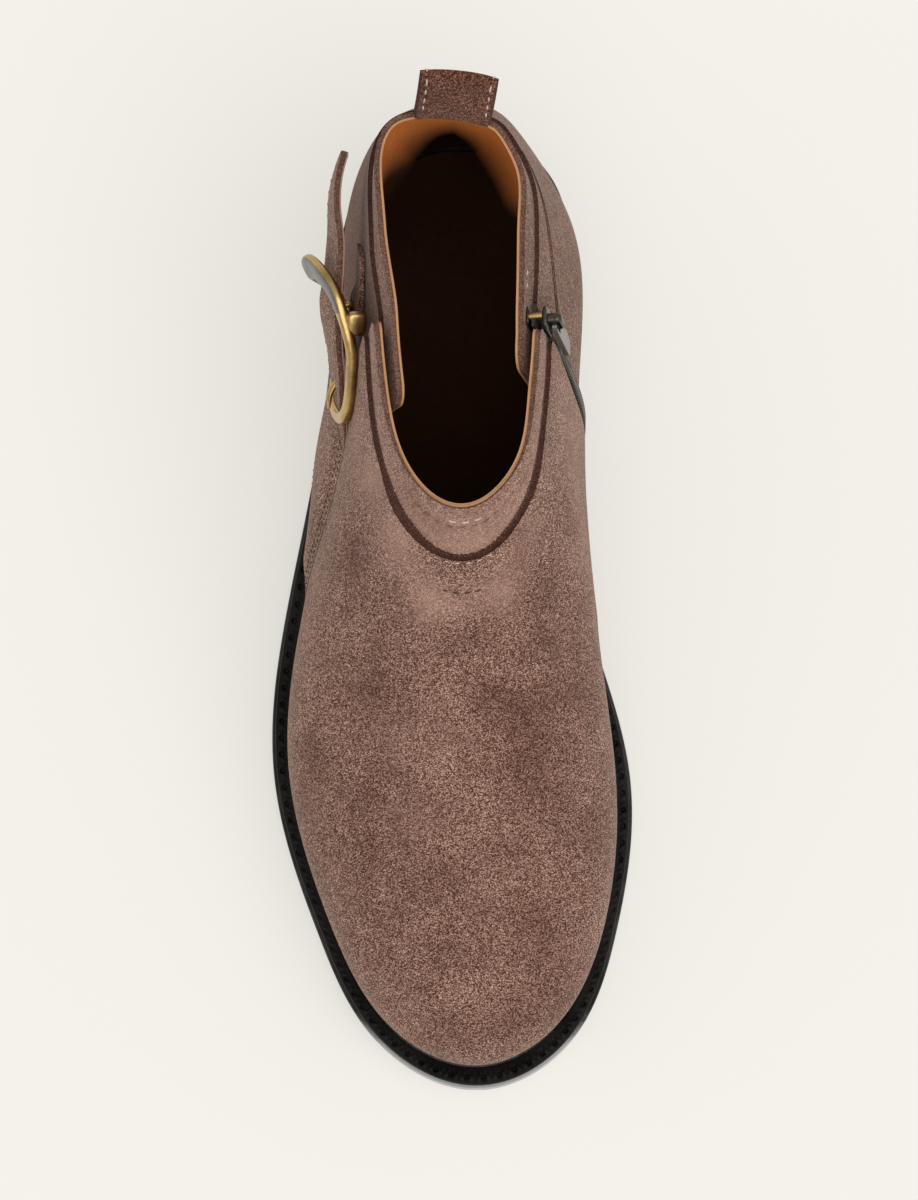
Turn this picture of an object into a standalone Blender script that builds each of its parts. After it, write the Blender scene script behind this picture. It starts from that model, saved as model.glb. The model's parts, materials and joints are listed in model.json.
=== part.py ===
"""A right-foot suede ankle bootie on a low-heeled rubber unit sole.

The vamp laps over the back quarter. A strap with a buckle closes the outer side, a zip the inner side,
and a folded loop stands at the back of the collar.
Axes: +X is the inner (medial) side, +Y the heel, +Z up, and the floor is Z = 0.
All sizes are millimetres until a mesh is made.
"""
from collections import namedtuple
import math

import bpy
import bmesh
from mathutils import Matrix, Vector
import numpy as np

# Driving dimensions
MM = 0.001
GAP = 0.3
SOLE_HALF_LENGTH = 130.0
OUTSOLE_THICK = 6.5
TOE_SPRING = 9.0
TOE_BREAK_Y = -69.5
BALL_END_Y = -15.5
BREAST_Y = 61.0
ARCH_RISE = 17.0
HEEL_PITCH = 0.045
HEEL_TAPER = 2.5
WELT_HIGH = 4.0
WELT_STEP = 0.7
WELT_SLOPE = 0.8
INSOLE_THICK = 3.0
INSOLE_CLEAR = 18.0
BODY_LAYER = 1.9
LINING_LAYER = 1.4
WALL = BODY_LAYER + LINING_LAYER
QUARTER_DEPTH = 2.0
BAND_START = 0.935
SLIT_DEPTH = 2.3
STRAP_THICK = 2.0
LOOP_THICK = 1.4
LOOP_WIDE = 23.0
LOOP_TALL = 23.0
LOOP_LEAN = 4.5
LOOP_SHIFT = 0.4

# Five closed hoops from the sole up to the collar carry the outer surface of the vamp.
# on_seat adds the height of the outsole's top, dip lowers the sides, and skew turns the hoop in plan.
Hoop = namedtuple("Hoop", "toe_x toe_y toe_z heel_x heel_y heel_z on_seat dip skew")
HOOPS = (
    Hoop(6.5, -122.8, GAP, 2.0, 128.8, GAP, 1.0, 0.0, 0.0),
    Hoop(6.0, -134.5, 42.0, 2.0, 133.5, 22.0, 1.0, -8.0, 0.0),
    Hoop(5.0, -91.5, 46.0, 2.0, 134.0, 72.0, 0.0, 0.0, 0.0),
    Hoop(3.0, -29.5, 78.0, 1.5, 117.5, 105.0, 0.0, 0.0, 0.05),
    Hoop(2.7, 9.0, 122.0, 1.2, 111.5, 141.0, 0.0, 2.0, 0.11),
)

# Half-width factors round each hoop, by degrees from the toe over the lateral side to the heel and back,
# and how far the edge of the sole stands out from the feather line.
Station = namedtuple("Station", "degrees feather swell instep ankle collar sole_edge")
STATIONS = (
    Station(0.0, 52.0, 62.0, 45.0, 30.0, 26.0, 7.3),
    Station(22.5, 54.5, 63.5, 45.0, 30.0, 25.8, 6.4),
    Station(45.0, 50.8, 61.0, 43.5, 29.5, 25.0, 5.9),
    Station(67.5, 49.8, 60.0, 39.5, 29.0, 23.0, 6.8),
    Station(90.0, 42.3, 46.5, 30.4, 27.5, 22.7, 5.7),
    Station(112.5, 37.5, 39.8, 31.0, 29.3, 25.0, 3.0),
    Station(135.0, 45.5, 52.0, 40.5, 35.5, 33.4, 0.9),
    Station(157.5, 59.0, 64.0, 55.5, 47.5, 46.0, 0.9),
    Station(180.0, 63.5, 67.0, 61.5, 55.0, 57.0, 1.0),
    Station(202.5, 58.6, 50.5, 42.5, 40.0, 38.0, 0.4),
    Station(225.0, 41.6, 53.0, 42.8, 33.7, 28.8, 0.2),
    Station(247.5, 27.0, 42.5, 35.5, 29.8, 22.0, 2.0),
    Station(270.0, 27.8, 37.5, 32.4, 28.7, 21.9, 3.4),
    Station(292.5, 40.3, 48.0, 33.0, 28.5, 22.3, 6.0),
    Station(315.0, 46.6, 60.5, 36.0, 29.5, 25.0, 5.9),
    Station(337.5, 52.6, 64.0, 43.0, 30.0, 25.6, 6.8),
)

# Rear edge of the vamp on each side, and how far the quarter runs on under it.
LapRow = namedtuple("LapRow", "z lateral_y medial_y lateral_lap medial_lap")
LAPS = (
    LapRow(5.0, 34.5, 26.5, 10.0, 8.0),
    LapRow(75.0, 46.5, 44.5, 12.0, 8.0),
    LapRow(110.0, 54.5, 53.5, 18.0, 10.0),
    LapRow(135.0, 59.0, 57.0, 24.0, 11.0),
)

# Middle line of the strap over the lateral wall: where it runs, half its width, its clearance, and how far
# its lower edge stands out and its upper edge draws in.
StrapRow = namedtuple("StrapRow", "y z half_wide lift roll")
STRAP_ROWS = (
    StrapRow(12.0, 21.0, 13.0, 0.35, 0.0),
    StrapRow(18.0, 33.5, 12.8, 0.35, 0.0),
    StrapRow(24.5, 46.0, 12.5, 0.35, 0.0),
    StrapRow(31.0, 58.0, 12.2, 0.35, 0.0),
    StrapRow(38.0, 70.0, 11.8, 0.35, 0.0),
    StrapRow(45.0, 80.5, 10.8, 0.4, 0.0),
    StrapRow(52.5, 88.0, 10.0, 1.4, 0.8),
    StrapRow(61.0, 92.5, 9.4, 3.7, 1.2),
    StrapRow(68.0, 94.8, 9.2, 5.0, 1.2),
    StrapRow(76.0, 97.0, 9.0, 4.0, 0.9),
    StrapRow(85.0, 99.8, 9.4, 3.8, 0.7),
    StrapRow(93.5, 102.5, 9.2, 4.6, 0.3),
    StrapRow(100.0, 104.6, 8.2, 4.4, 0.0),
    StrapRow(103.8, 105.8, 6.0, 4.0, 0.0),
    StrapRow(105.0, 106.2, 3.5, 3.9, 0.0),
)

# Buckle, in a frame whose first axis runs along the strap to the heel, rolled to draw in its upper side
BUCKLE_Y, BUCKLE_Z = 60.0, 92.0
BUCKLE_ROLL = 7.5
BUCKLE_HALF_LONG = 21.0
BUCKLE_HALF_WIDE = 14.6
BUCKLE_MID_HIGH = 3.5
BUCKLE_FRONT_HIGH = 5.1
BUCKLE_REAR_HIGH = 10.6
BUCKLE_SECTION = 1.7
BUCKLE_PLATE = 3.4
BUCKLE_THICK = 1.2
BAR_AT = 7.0
BAR_HIGH = 1.9
BAR_RADIUS = 1.0
LUG_LONG, LUG_WIDE = 3.6, 2.6
PRONG_RADIUS = 0.9
TAB_THICK = 1.2
TAB_HALF_WIDE = 8.0
TAB_TAIL = 20.0
PRONG_SLOT = 4.0

# Zip on the medial wall
CHAIN_WIDE = 5.0
CHAIN_THICK = 1.8
CHAIN_SET_BACK = 3.8
CHAIN_LOW_Z, CHAIN_TOP_Z = 44.0, 126.0
SLIDER_Z = 120.0
SLIDER_LONG, SLIDER_WIDE, SLIDER_THICK = 10.0, 6.4, 1.4
BRIDGE_LONG, BRIDGE_WIDE, BRIDGE_THICK = 7.2, 2.4, 1.1
BRIDGE_OPEN = 2.3
PULL_LONG, PULL_WIDE, PULL_THICK = 22.0, 5.4, 1.2
PULL_WINDOW_WIDE, PULL_WINDOW_END = 3.4, 5.6
PULL_EYE = 0.65

# Mesh fineness
VAMP_COLUMNS, QUARTER_COLUMNS = 49, 37
BODY_ROWS, BAND_ROWS = 12, 3
SOLE_ROWS, SOLE_COLUMNS = 45, 5
WELT_STATIONS = 112
STRAP_STEPS, STRAP_COLUMNS = 37, 4
RING_STEPS, RING_SIDES = 48, 8


def smooth(value):
    """Ease from 0 to 1."""
    value = np.clip(value, 0.0, 1.0)
    return value * value * (3.0 - 2.0 * value)


def mix(start, end, share):
    """Blend two values."""
    return start + (end - start) * share


def periodic(values, angle):
    """Closed cubic spline through evenly spaced values."""
    count = len(values)
    step = np.eye(count)
    system = (4.0 * step + np.roll(step, 1, 0) + np.roll(step, -1, 0)) / 6.0
    weights = np.linalg.solve(system, np.asarray(values))
    place = np.asarray(angle) / (2.0 * math.pi) * count
    cell = np.floor(place).astype(int)
    f = place - cell
    parts = ((1 - f) ** 3, 3 * f ** 3 - 6 * f ** 2 + 4, -3 * f ** 3 + 3 * f ** 2 + 3 * f + 1, f ** 3)
    return sum(part * weights[(cell + k - 1) % count] for k, part in enumerate(parts)) / 6.0


def column(rows, name):
    """One named column of a table."""
    return [getattr(row, name) for row in rows]


def sole_bottom(y):
    """Underside of the outsole: flat ball, toe spring, arch and heel pitch."""
    toe = TOE_SPRING * np.clip((TOE_BREAK_Y - y) / (TOE_BREAK_Y + SOLE_HALF_LENGTH), 0.0, 1.2) ** 2
    arch = ARCH_RISE * smooth((y - BALL_END_Y) / (BREAST_Y - BALL_END_Y))
    pitch = HEEL_PITCH * np.clip(y - BREAST_Y, 0.0, None)
    return toe + arch + pitch


def seat(y):
    """Top of the outsole."""
    return sole_bottom(y) + OUTSOLE_THICK


def hoop(level, angle):
    """Points of one control hoop."""
    row = HOOPS[level]
    along = (1.0 - np.cos(angle)) / 2.0
    full = periodic(column(STATIONS, Station._fields[level + 1]), angle)
    x = mix(row.toe_x, row.heel_x, along) - np.sin(angle) * full
    y = mix(row.toe_y, row.heel_y, along) + row.skew * along * np.sin(angle) * full
    z = row.on_seat * seat(y) + mix(row.toe_z, row.heel_z, along) - row.dip * np.sin(angle) ** 2
    return np.stack([x, y, z], axis=-1)


def surface(angle, level):
    """Outer surface of the vamp: a curve from the feather line to the collar through the five hoops."""
    angle, level = np.broadcast_arrays(np.asarray(angle, float), np.asarray(level, float))
    top = len(HOOPS) - 1
    total = 0.0
    for k in range(top + 1):
        weight = math.comb(top, k) * level ** k * (1.0 - level) ** (top - k)
        total = total + weight[..., None] * hoop(k, angle)
    return total


def normal(angle, level):
    """Outward unit normal of the surface."""
    step = 0.002
    low = np.maximum(level - step, 0.0)
    high = np.minimum(level + step, 1.0)
    up = surface(angle, high) - surface(angle, low)
    around = surface(angle + step, level) - surface(angle - step, level)
    out = np.cross(up, around)
    return out / np.linalg.norm(out, axis=-1, keepdims=True)


def inset(angle, level, depth):
    """The surface moved inwards by a depth."""
    depth = np.broadcast_to(np.asarray(depth, float), np.broadcast(angle, level).shape)
    return surface(angle, level) - depth[..., None] * normal(angle, level)


def lap_value(name, z):
    """One column of the lap table at a height."""
    return np.interp(z, column(LAPS, "z"), column(LAPS, name))


def angle_where(level, side, shift):
    """Angle on one side at which the surface meets the vamp's rear edge, moved towards the heel."""
    angles = np.linspace(0.0, math.pi, 181)
    sign = 1.0 if side == "lateral" else -1.0
    found = []
    for one in level:
        points = surface(sign * angles, one)
        edge = lap_value(side + "_y", points[:, 2]) + shift(points[:, 2])
        found.append(np.interp(0.0, points[:, 1] - edge, angles))
    return np.array(found)


def wall_angles(y, z, side):
    """Angle and level of the surface point with a given y and z on one side."""
    sign = 1.0 if side == "lateral" else -1.0
    angles, levels = np.meshgrid(np.linspace(0.1, 3.04, 60), np.linspace(0.0, 1.0, 40))
    points = surface(sign * angles, levels)
    y, z = np.broadcast_arrays(np.asarray(y, float), np.asarray(z, float))
    distance = (points[..., 1].ravel() - y.ravel()[:, None]) ** 2
    distance = distance + (points[..., 2].ravel() - z.ravel()[:, None]) ** 2
    nearest = distance.argmin(axis=1)
    angle = sign * angles.ravel()[nearest]
    level = levels.ravel()[nearest]
    step = 1e-4
    for _ in range(6):
        here = surface(angle, level)
        by_angle = (surface(angle + step, level) - here) / step
        by_level = (surface(angle, level + step) - here) / step
        miss_y, miss_z = y.ravel() - here[:, 1], z.ravel() - here[:, 2]
        det = by_angle[:, 1] * by_level[:, 2] - by_angle[:, 2] * by_level[:, 1]
        angle = angle + (miss_y * by_level[:, 2] - miss_z * by_level[:, 1]) / det
        level = level + (miss_z * by_angle[:, 1] - miss_y * by_angle[:, 2]) / det
    return angle.reshape(y.shape), level.reshape(y.shape)


def on_wall(y, z, side, lift):
    """Point above the wall of one side, seen from that side at (y, z)."""
    angle, level = wall_angles(y, z, side)
    return inset(angle, level, -np.asarray(lift, float))


def wall_frame(y, z, side, along):
    """Frame on the wall: X along a direction, Z outwards."""
    angle, level = wall_angles(y, z, side)
    out = Vector(normal(angle, level))
    first = Vector(along)
    first = (first - out * first.dot(out)).normalized()
    second = out.cross(first)
    frame = Matrix((first, second, out)).transposed().to_4x4()
    frame.translation = Vector(surface(angle, level)) * MM
    return frame


def clear_scene():
    """Remove every object of the scene."""
    for item in list(bpy.data.objects):
        bpy.data.objects.remove(item, do_unlink=True)


def collection(name):
    """A new collection linked to the scene."""
    group = bpy.data.collections.new(name)
    bpy.context.scene.collection.children.link(group)
    return group


def material(name, colour, roughness, metallic=0.0):
    """A plain Principled material."""
    finish = bpy.data.materials.new(name)
    finish.use_nodes = True
    shader = finish.node_tree.nodes["Principled BSDF"]
    shader.inputs["Base Color"].default_value = (*colour, 1.0)
    shader.inputs["Roughness"].default_value = roughness
    shader.inputs["Metallic"].default_value = metallic
    return finish


def add_object(name, data, group, finish=None):
    """Put mesh or curve data into a collection."""
    item = bpy.data.objects.new(name, data)
    if finish:
        data.materials.append(finish)
    group.objects.link(item)
    return item


def as_helper(item):
    """Mark an object as a cutting or joining form that isn't a part."""
    item.hide_render = True
    item.display_type = "WIRE"
    return item


def mesh_from(name, points, faces):
    """Closed mesh in metres with its faces pointing out."""
    mesh = bpy.data.meshes.new(name)
    mesh.from_pydata((np.asarray(points) * MM).tolist(), [], faces)
    work = bmesh.new()
    work.from_mesh(mesh)
    bmesh.ops.recalc_face_normals(work, faces=work.faces)
    work.to_mesh(mesh)
    work.free()
    mesh.shade_smooth()
    mesh.set_sharp_from_angle(angle=math.radians(40.0))
    return mesh


def slab(name, front, back):
    """Closed body between two matching grids of points."""
    rows, columns = front.shape[:2]
    count = rows * columns
    index = np.arange(count).reshape(rows, columns)
    faces = []
    for i in range(rows - 1):
        for j in range(columns - 1):
            quad = [index[i, j], index[i + 1, j], index[i + 1, j + 1], index[i, j + 1]]
            faces.append([int(v) for v in quad])
            faces.append([int(v) + count for v in reversed(quad)])
    rim = [*index[0, :], *index[1:, -1], *index[-1, -2::-1], *index[-2:0:-1, 0]]
    for one, two in zip(rim, rim[1:] + rim[:1]):
        faces.append([int(one), int(two), int(two) + count, int(one) + count])
    return mesh_from(name, np.concatenate([front.reshape(-1, 3), back.reshape(-1, 3)]), faces)


def ring(name, sections):
    """Closed ring through a loop of closed sections."""
    steps, sides = sections.shape[:2]
    faces = []
    for i in range(steps):
        for j in range(sides):
            i2, j2 = (i + 1) % steps, (j + 1) % sides
            faces.append([i * sides + j, i2 * sides + j, i2 * sides + j2, i * sides + j2])
    return mesh_from(name, sections.reshape(-1, 3), faces)


def boolean(item, other, operation):
    """Leave a Boolean with a helper on an object."""
    step = item.modifiers.new(operation.title(), "BOOLEAN")
    step.operation = operation
    step.solver = "EXACT"
    step.object = other


def sole_outline():
    """Edge of the outsole, a closed run of points seen from above."""
    angle = np.linspace(0.0, 2.0 * math.pi, 721)
    feather = hoop(0, angle)[:, :2]
    tangent = np.gradient(feather, axis=0)
    tangent[0] = tangent[-1] = feather[1] - feather[-2]
    out = np.stack([tangent[:, 1], -tangent[:, 0]], axis=1)
    out /= np.linalg.norm(out, axis=1, keepdims=True)
    centre = feather.mean(axis=0)
    out *= np.sign((out * (feather - centre)).sum(axis=1).mean())
    return angle, feather + out * periodic(column(STATIONS, "sole_edge"), angle)[:, None]


def sole_grid(y, trim, height):
    """Rows across the sole, in from its edge by a trim, at a height given by y."""
    angle, edge = sole_outline()
    half = len(angle) // 2
    lateral = np.interp(y, edge[:half + 1, 1], edge[:half + 1, 0]) + trim
    medial = np.interp(y, edge[:half - 1:-1, 1], edge[:half - 1:-1, 0]) - trim
    across = np.linspace(0.0, 1.0, SOLE_COLUMNS)
    x = mix(lateral[:, None], medial[:, None], across)
    rows = np.broadcast_to(y[:, None], x.shape)
    return np.stack([x, rows, np.broadcast_to(height(rows), x.shape)], axis=-1)


def end_spaced(start, end, count, tip=0.03):
    """Values from start to end that crowd towards both ends."""
    turn = np.linspace(math.pi * tip, math.pi * (1.0 - tip), count)
    return mix(start, end, (1.0 - np.cos(turn)) / 2.0)


def build_outsole(group, finish):
    """Outsole with toe spring and arch."""
    edge = sole_outline()[1]
    y = end_spaced(edge[:, 1].min(), edge[:, 1].max(), SOLE_ROWS)
    top = sole_grid(y, 0.0, seat)
    bottom = sole_grid(y, 0.0, sole_bottom)
    return add_object("outsole", slab("outsole", top, bottom), group, finish)


def build_heel(group, finish):
    """Heel block, tapered towards the floor, with a straight breast."""
    edge = sole_outline()[1]
    back = edge[:, 1].max()
    turn = np.linspace(0.0, 0.97, SOLE_ROWS // 3)
    y = mix(BREAST_Y, back, np.sin(turn * math.pi / 2.0))
    top = sole_grid(y, 0.6, lambda row: sole_bottom(row) - GAP)
    share = (y - BREAST_Y) / (back - BREAST_Y)
    bottom = sole_grid(y, 0.6, np.zeros_like)
    middle = bottom[..., 0].mean(axis=1, keepdims=True)
    half = np.abs(bottom[:, -1:, 0] - bottom[:, :1, 0]) / 2.0
    bottom[..., 0] = middle + (bottom[..., 0] - middle) * np.maximum(1.0 - HEEL_TAPER / half, 0.4)
    bottom[..., 1] -= HEEL_TAPER * share[:, None]
    return add_object("heel", slab("heel", top, bottom), group, finish)


def welt_inner(angle):
    """Inner edge of the welt: just clear of the upper over the welt's height."""
    levels = np.linspace(0.0, 0.08, 9)
    quarter = is_quarter(angle)
    best = None
    for level in levels:
        point = inset(angle, np.full_like(angle, level), QUARTER_DEPTH * quarter)
        reach = np.linalg.norm(point[:, :2], axis=1)
        if best is None:
            best = point
            far = reach
            continue
        best = np.where((reach > far)[:, None], point, best)
        far = np.maximum(reach, far)
    return best


def is_quarter(angle, shift=2.0):
    """1 where the quarter lies at the feather line, 0 on the vamp, eased past the edge moved by a shift."""
    y = hoop(0, angle)[:, 1]
    edge = np.where(np.sin(angle) > 0.0, lap_value("lateral_y", 10.0), lap_value("medial_y", 10.0))
    return smooth((y - edge - shift) / 6.0)


def build_welt(group, finish):
    """Welt round the whole upper, thin at the heel."""
    angle = np.linspace(0.0, 2.0 * math.pi, WELT_STATIONS, endpoint=False)
    around, edge = sole_outline()
    outer = np.stack([np.interp(angle, around, edge[:, k]) for k in range(2)], axis=1)
    inner = welt_inner(angle)[:, :2]
    run = outer - inner
    wide = np.linalg.norm(run, axis=1, keepdims=True)
    out = run / wide
    outer = outer - out * WELT_STEP
    inner = inner + out * (GAP + 0.2)
    low = seat(outer[:, 1:2]) + GAP
    inner_low = seat(inner[:, 1:2]) + GAP
    sections = np.stack([
        np.concatenate([inner, inner_low], axis=1),
        np.concatenate([inner, inner_low + WELT_HIGH], axis=1),
        np.concatenate([outer - out * WELT_SLOPE, low + WELT_HIGH - WELT_SLOPE * 0.4], axis=1),
        np.concatenate([outer, low + WELT_HIGH - WELT_SLOPE * 1.4], axis=1),
        np.concatenate([outer, low], axis=1),
    ], axis=1)
    return add_object("welt", ring("welt", sections), group, finish)


def wall_rows(start):
    """Levels of the rows outside and inside, and which rows are on the thin collar band."""
    body = np.linspace(start, BAND_START, BODY_ROWS)
    band = np.linspace(BAND_START, 1.0, BAND_ROWS)
    step = 0.006
    outside = np.concatenate([body, band])
    inside = np.concatenate([body[:-1], [BAND_START - step, BAND_START + step], band[1:]])
    on_band = np.concatenate([np.zeros(BODY_ROWS), np.ones(BAND_ROWS)])
    return outside, inside, on_band


def vamp_shell():
    """Vamp from its medial rear edge round the toe to its lateral rear edge."""
    outside, inside, on_band = wall_rows(0.0)
    share = np.linspace(0.0, 1.0, VAMP_COLUMNS)

    def angles(levels):
        medial = angle_where(levels, "medial", np.zeros_like)
        lateral = angle_where(levels, "lateral", np.zeros_like)
        return mix(-medial[:, None], lateral[:, None], share)

    front = inset(angles(outside), outside[:, None], BODY_LAYER * on_band[:, None])
    back = inset(angles(inside), inside[:, None], WALL)
    return slab("vamp", front, back)


def slit_depth(angle, level, points):
    """How far the quarter draws in near the collar to stand clear inside the vamp's rear corners."""
    side = np.sin(angle) > 0.0
    edge = np.where(side, lap_value("lateral_y", points[..., 2]), lap_value("medial_y", points[..., 2]))
    near = smooth((edge + 22.0 - points[..., 1]) / 22.0)
    return SLIT_DEPTH * near * smooth((level - 0.66) / 0.26)


def quarter_shell():
    """Back quarter from under the lateral edge of the vamp round the heel to under its medial edge."""
    outside, inside, on_band = wall_rows(0.006)
    share = np.linspace(0.0, 1.0, QUARTER_COLUMNS)

    def grid(levels, extra):
        lateral = angle_where(levels, "lateral", lambda z: -lap_value("lateral_lap", z))
        medial = angle_where(levels, "medial", lambda z: -lap_value("medial_lap", z))
        angle = mix(lateral[:, None], 2.0 * math.pi - medial[:, None], share)
        level = np.broadcast_to(levels[:, None], angle.shape)
        points = surface(angle, level)
        side_y = np.where(
            np.sin(angle) > 0.0,
            lap_value("lateral_y", points[..., 2]),
            lap_value("medial_y", points[..., 2]) + 8.0,
        )
        band = extra[:, None] * smooth((points[..., 1] - side_y) / 4.0 + 1.0)
        lapped = smooth((side_y - points[..., 1]) / 6.0) * extra[:, None] * BODY_LAYER
        return angle, level, slit_depth(angle, level, points), band, lapped

    angle, level, slit, band, lapped = grid(outside, on_band)
    front = inset(angle, level, QUARTER_DEPTH + slit + BODY_LAYER * band + lapped * (1.0 - band))
    angle, level, slit, band, lapped = grid(inside, on_band)
    back = inset(angle, level, QUARTER_DEPTH + WALL + slit)
    return slab("quarter", front, back)


def build_upper(group, helpers, finish):
    """One hollow wall: the vamp joined to the quarter that it laps over."""
    upper = add_object("upper", vamp_shell(), group, finish)
    quarter = as_helper(add_object("quarter_form", quarter_shell(), helpers))
    boolean(upper, quarter, "UNION")
    return upper


def build_insole(group, finish):
    """Insole board inside the wall."""
    angle = np.linspace(0.0, 2.0 * math.pi, 361)
    depth = WALL + 0.6 + QUARTER_DEPTH * is_quarter(angle, -INSOLE_CLEAR)
    inner = inset(angle, np.full_like(angle, 0.0), depth)
    lateral = inner[:181]
    medial = inner[:179:-1]
    y = end_spaced(inner[:, 1].min(), inner[:, 1].max(), SOLE_ROWS - 10)
    left = np.interp(y, lateral[:, 1], lateral[:, 0])
    right = np.interp(y, medial[:, 1], medial[:, 0])
    across = np.linspace(0.0, 1.0, SOLE_COLUMNS)
    x = mix(left[:, None], right[:, None], across)
    rows = np.broadcast_to(y[:, None], x.shape)
    low = np.stack([x, rows, seat(rows) + GAP], axis=-1)
    high = np.stack([x, rows, seat(rows) + GAP + INSOLE_THICK], axis=-1)
    return add_object("insole", slab("insole", high, low), group, finish)


def strap_path(count):
    """Evenly spaced rows along the strap: y, z, half-width and clearance."""
    table = np.array(STRAP_ROWS, float)
    reach = np.concatenate([[0.0], np.cumsum(np.linalg.norm(np.diff(table[:, :2], axis=0), axis=1))])
    place = np.linspace(0.0, reach[-1], count)
    columns = [np.interp(place, reach, table[:, k]) for k in range(table.shape[1])]
    return np.stack(columns, axis=1)


def build_strap(group, helpers, finish, frame):
    """Strap over the lateral wall, with a slot for the prong."""
    path = strap_path(STRAP_STEPS)
    along = np.gradient(path[:, :2], axis=0)
    along /= np.linalg.norm(along, axis=1, keepdims=True)
    side = np.stack([-along[:, 1], along[:, 0]], axis=1)
    across = np.linspace(-1.0, 1.0, STRAP_COLUMNS)
    place = path[:, None, :2] + side[:, None, :] * (across[None, :, None] * path[:, 2][:, None, None])
    place[..., 1] = np.maximum(place[..., 1], seat(place[..., 0]) + GAP + WELT_HIGH + 0.6)
    lift = path[:, 3][:, None] - across[None, :] * path[:, 4][:, None]
    inner = on_wall(place[..., 0], place[..., 1], "lateral", lift)
    outer = on_wall(place[..., 0], place[..., 1], "lateral", lift + STRAP_THICK)
    strap = add_object("strap", slab("strap", outer, inner), group, finish)
    slot = box("strap_slot", (17.0, PRONG_SLOT, 24.0), helpers)
    slot.matrix_world = frame @ Matrix.Translation(Vector((BAR_AT - 4.5, 0.0, 8.0)) * MM)
    boolean(strap, as_helper(slot), "DIFFERENCE")
    return strap


def box(name, size, group, finish=None):
    """A box centred on its origin, sizes in millimetres."""
    mesh = bpy.data.meshes.new(name)
    work = bmesh.new()
    bmesh.ops.create_cube(work, size=1.0)
    bmesh.ops.scale(work, vec=Vector(size) * MM, verts=work.verts)
    work.to_mesh(mesh)
    work.free()
    return add_object(name, mesh, group, finish)


def placed(frame, points):
    """Millimetre points of a local frame in world millimetres."""
    turn = np.array(frame.to_3x3())
    return np.asarray(points) @ turn.T + np.array(frame.translation) / MM


def buckle_high(along):
    """Height of the frame's middle line over the wall: flat at the front, rising to its rear end."""
    share = along / BUCKLE_HALF_LONG
    front = (BUCKLE_FRONT_HIGH - BUCKLE_MID_HIGH) * smooth(-share / 0.7)
    rear = (BUCKLE_REAR_HIGH - BUCKLE_MID_HIGH) * np.clip(share, 0.0, None) ** 1.3
    return BUCKLE_MID_HIGH + front + rear


def build_buckle_frame(group, helpers, finish, frame):
    """Bowed oval frame, wider at its rear end, with a straight bar across it on two lugs."""
    turn = np.linspace(0.0, 2.0 * math.pi, RING_STEPS, endpoint=False)
    along = BUCKLE_HALF_LONG * np.sign(np.cos(turn)) * np.abs(np.cos(turn)) ** 0.8
    across = BUCKLE_HALF_WIDE * np.sign(np.sin(turn)) * np.abs(np.sin(turn)) ** 0.8
    centre = np.stack([along, across, buckle_high(along)], axis=1)
    tangent = np.roll(centre, -1, 0) - np.roll(centre, 1, 0)
    slope = (buckle_high(along + 0.1) - buckle_high(along - 0.1)) / 0.2
    up = np.stack([-slope, np.zeros_like(slope), np.ones_like(slope)], axis=1)
    out = np.cross(tangent, up)
    out /= np.linalg.norm(out, axis=1, keepdims=True)
    rise = np.cross(out, tangent)
    rise /= np.linalg.norm(rise, axis=1, keepdims=True)
    half = mix(BUCKLE_SECTION, BUCKLE_PLATE, smooth((along / BUCKLE_HALF_LONG - 0.5) / 0.5))
    spin = np.linspace(0.0, 2.0 * math.pi, RING_SIDES, endpoint=False)
    sections = centre[:, None] + out[:, None] * (half[:, None] * np.cos(spin))[..., None]
    sections = sections + rise[:, None] * (BUCKLE_THICK * np.sin(spin))[None, :, None]
    item = add_object("buckle_frame", ring("buckle_frame", placed(frame, sections)), group, finish)
    bpy.ops.mesh.primitive_cylinder_add(
        vertices=12,
        radius=BAR_RADIUS * MM,
        depth=2.0 * BUCKLE_HALF_WIDE * MM,
        rotation=(math.pi / 2.0, 0.0, 0.0),
    )
    bar = bpy.context.object
    bar.name = "buckle_bar_form"
    bar.matrix_world = frame @ Matrix.Translation(Vector((BAR_AT, 0.0, BAR_HIGH)) * MM) @ bar.matrix_world
    bar.users_collection[0].objects.unlink(bar)
    helpers.objects.link(bar)
    boolean(item, as_helper(bar), "UNION")
    low = BAR_HIGH - BAR_RADIUS
    high = float(buckle_high(BAR_AT))
    for sign in (-1.0, 1.0):
        lug = box("buckle_lug_form", (LUG_LONG, LUG_WIDE, high - low), helpers)
        lug_at = (BAR_AT, sign * (BUCKLE_HALF_WIDE - 0.2), (low + high) / 2.0)
        lug.matrix_world = frame @ Matrix.Translation(Vector(lug_at) * MM)
        boolean(item, as_helper(lug), "UNION")
    return item


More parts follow.
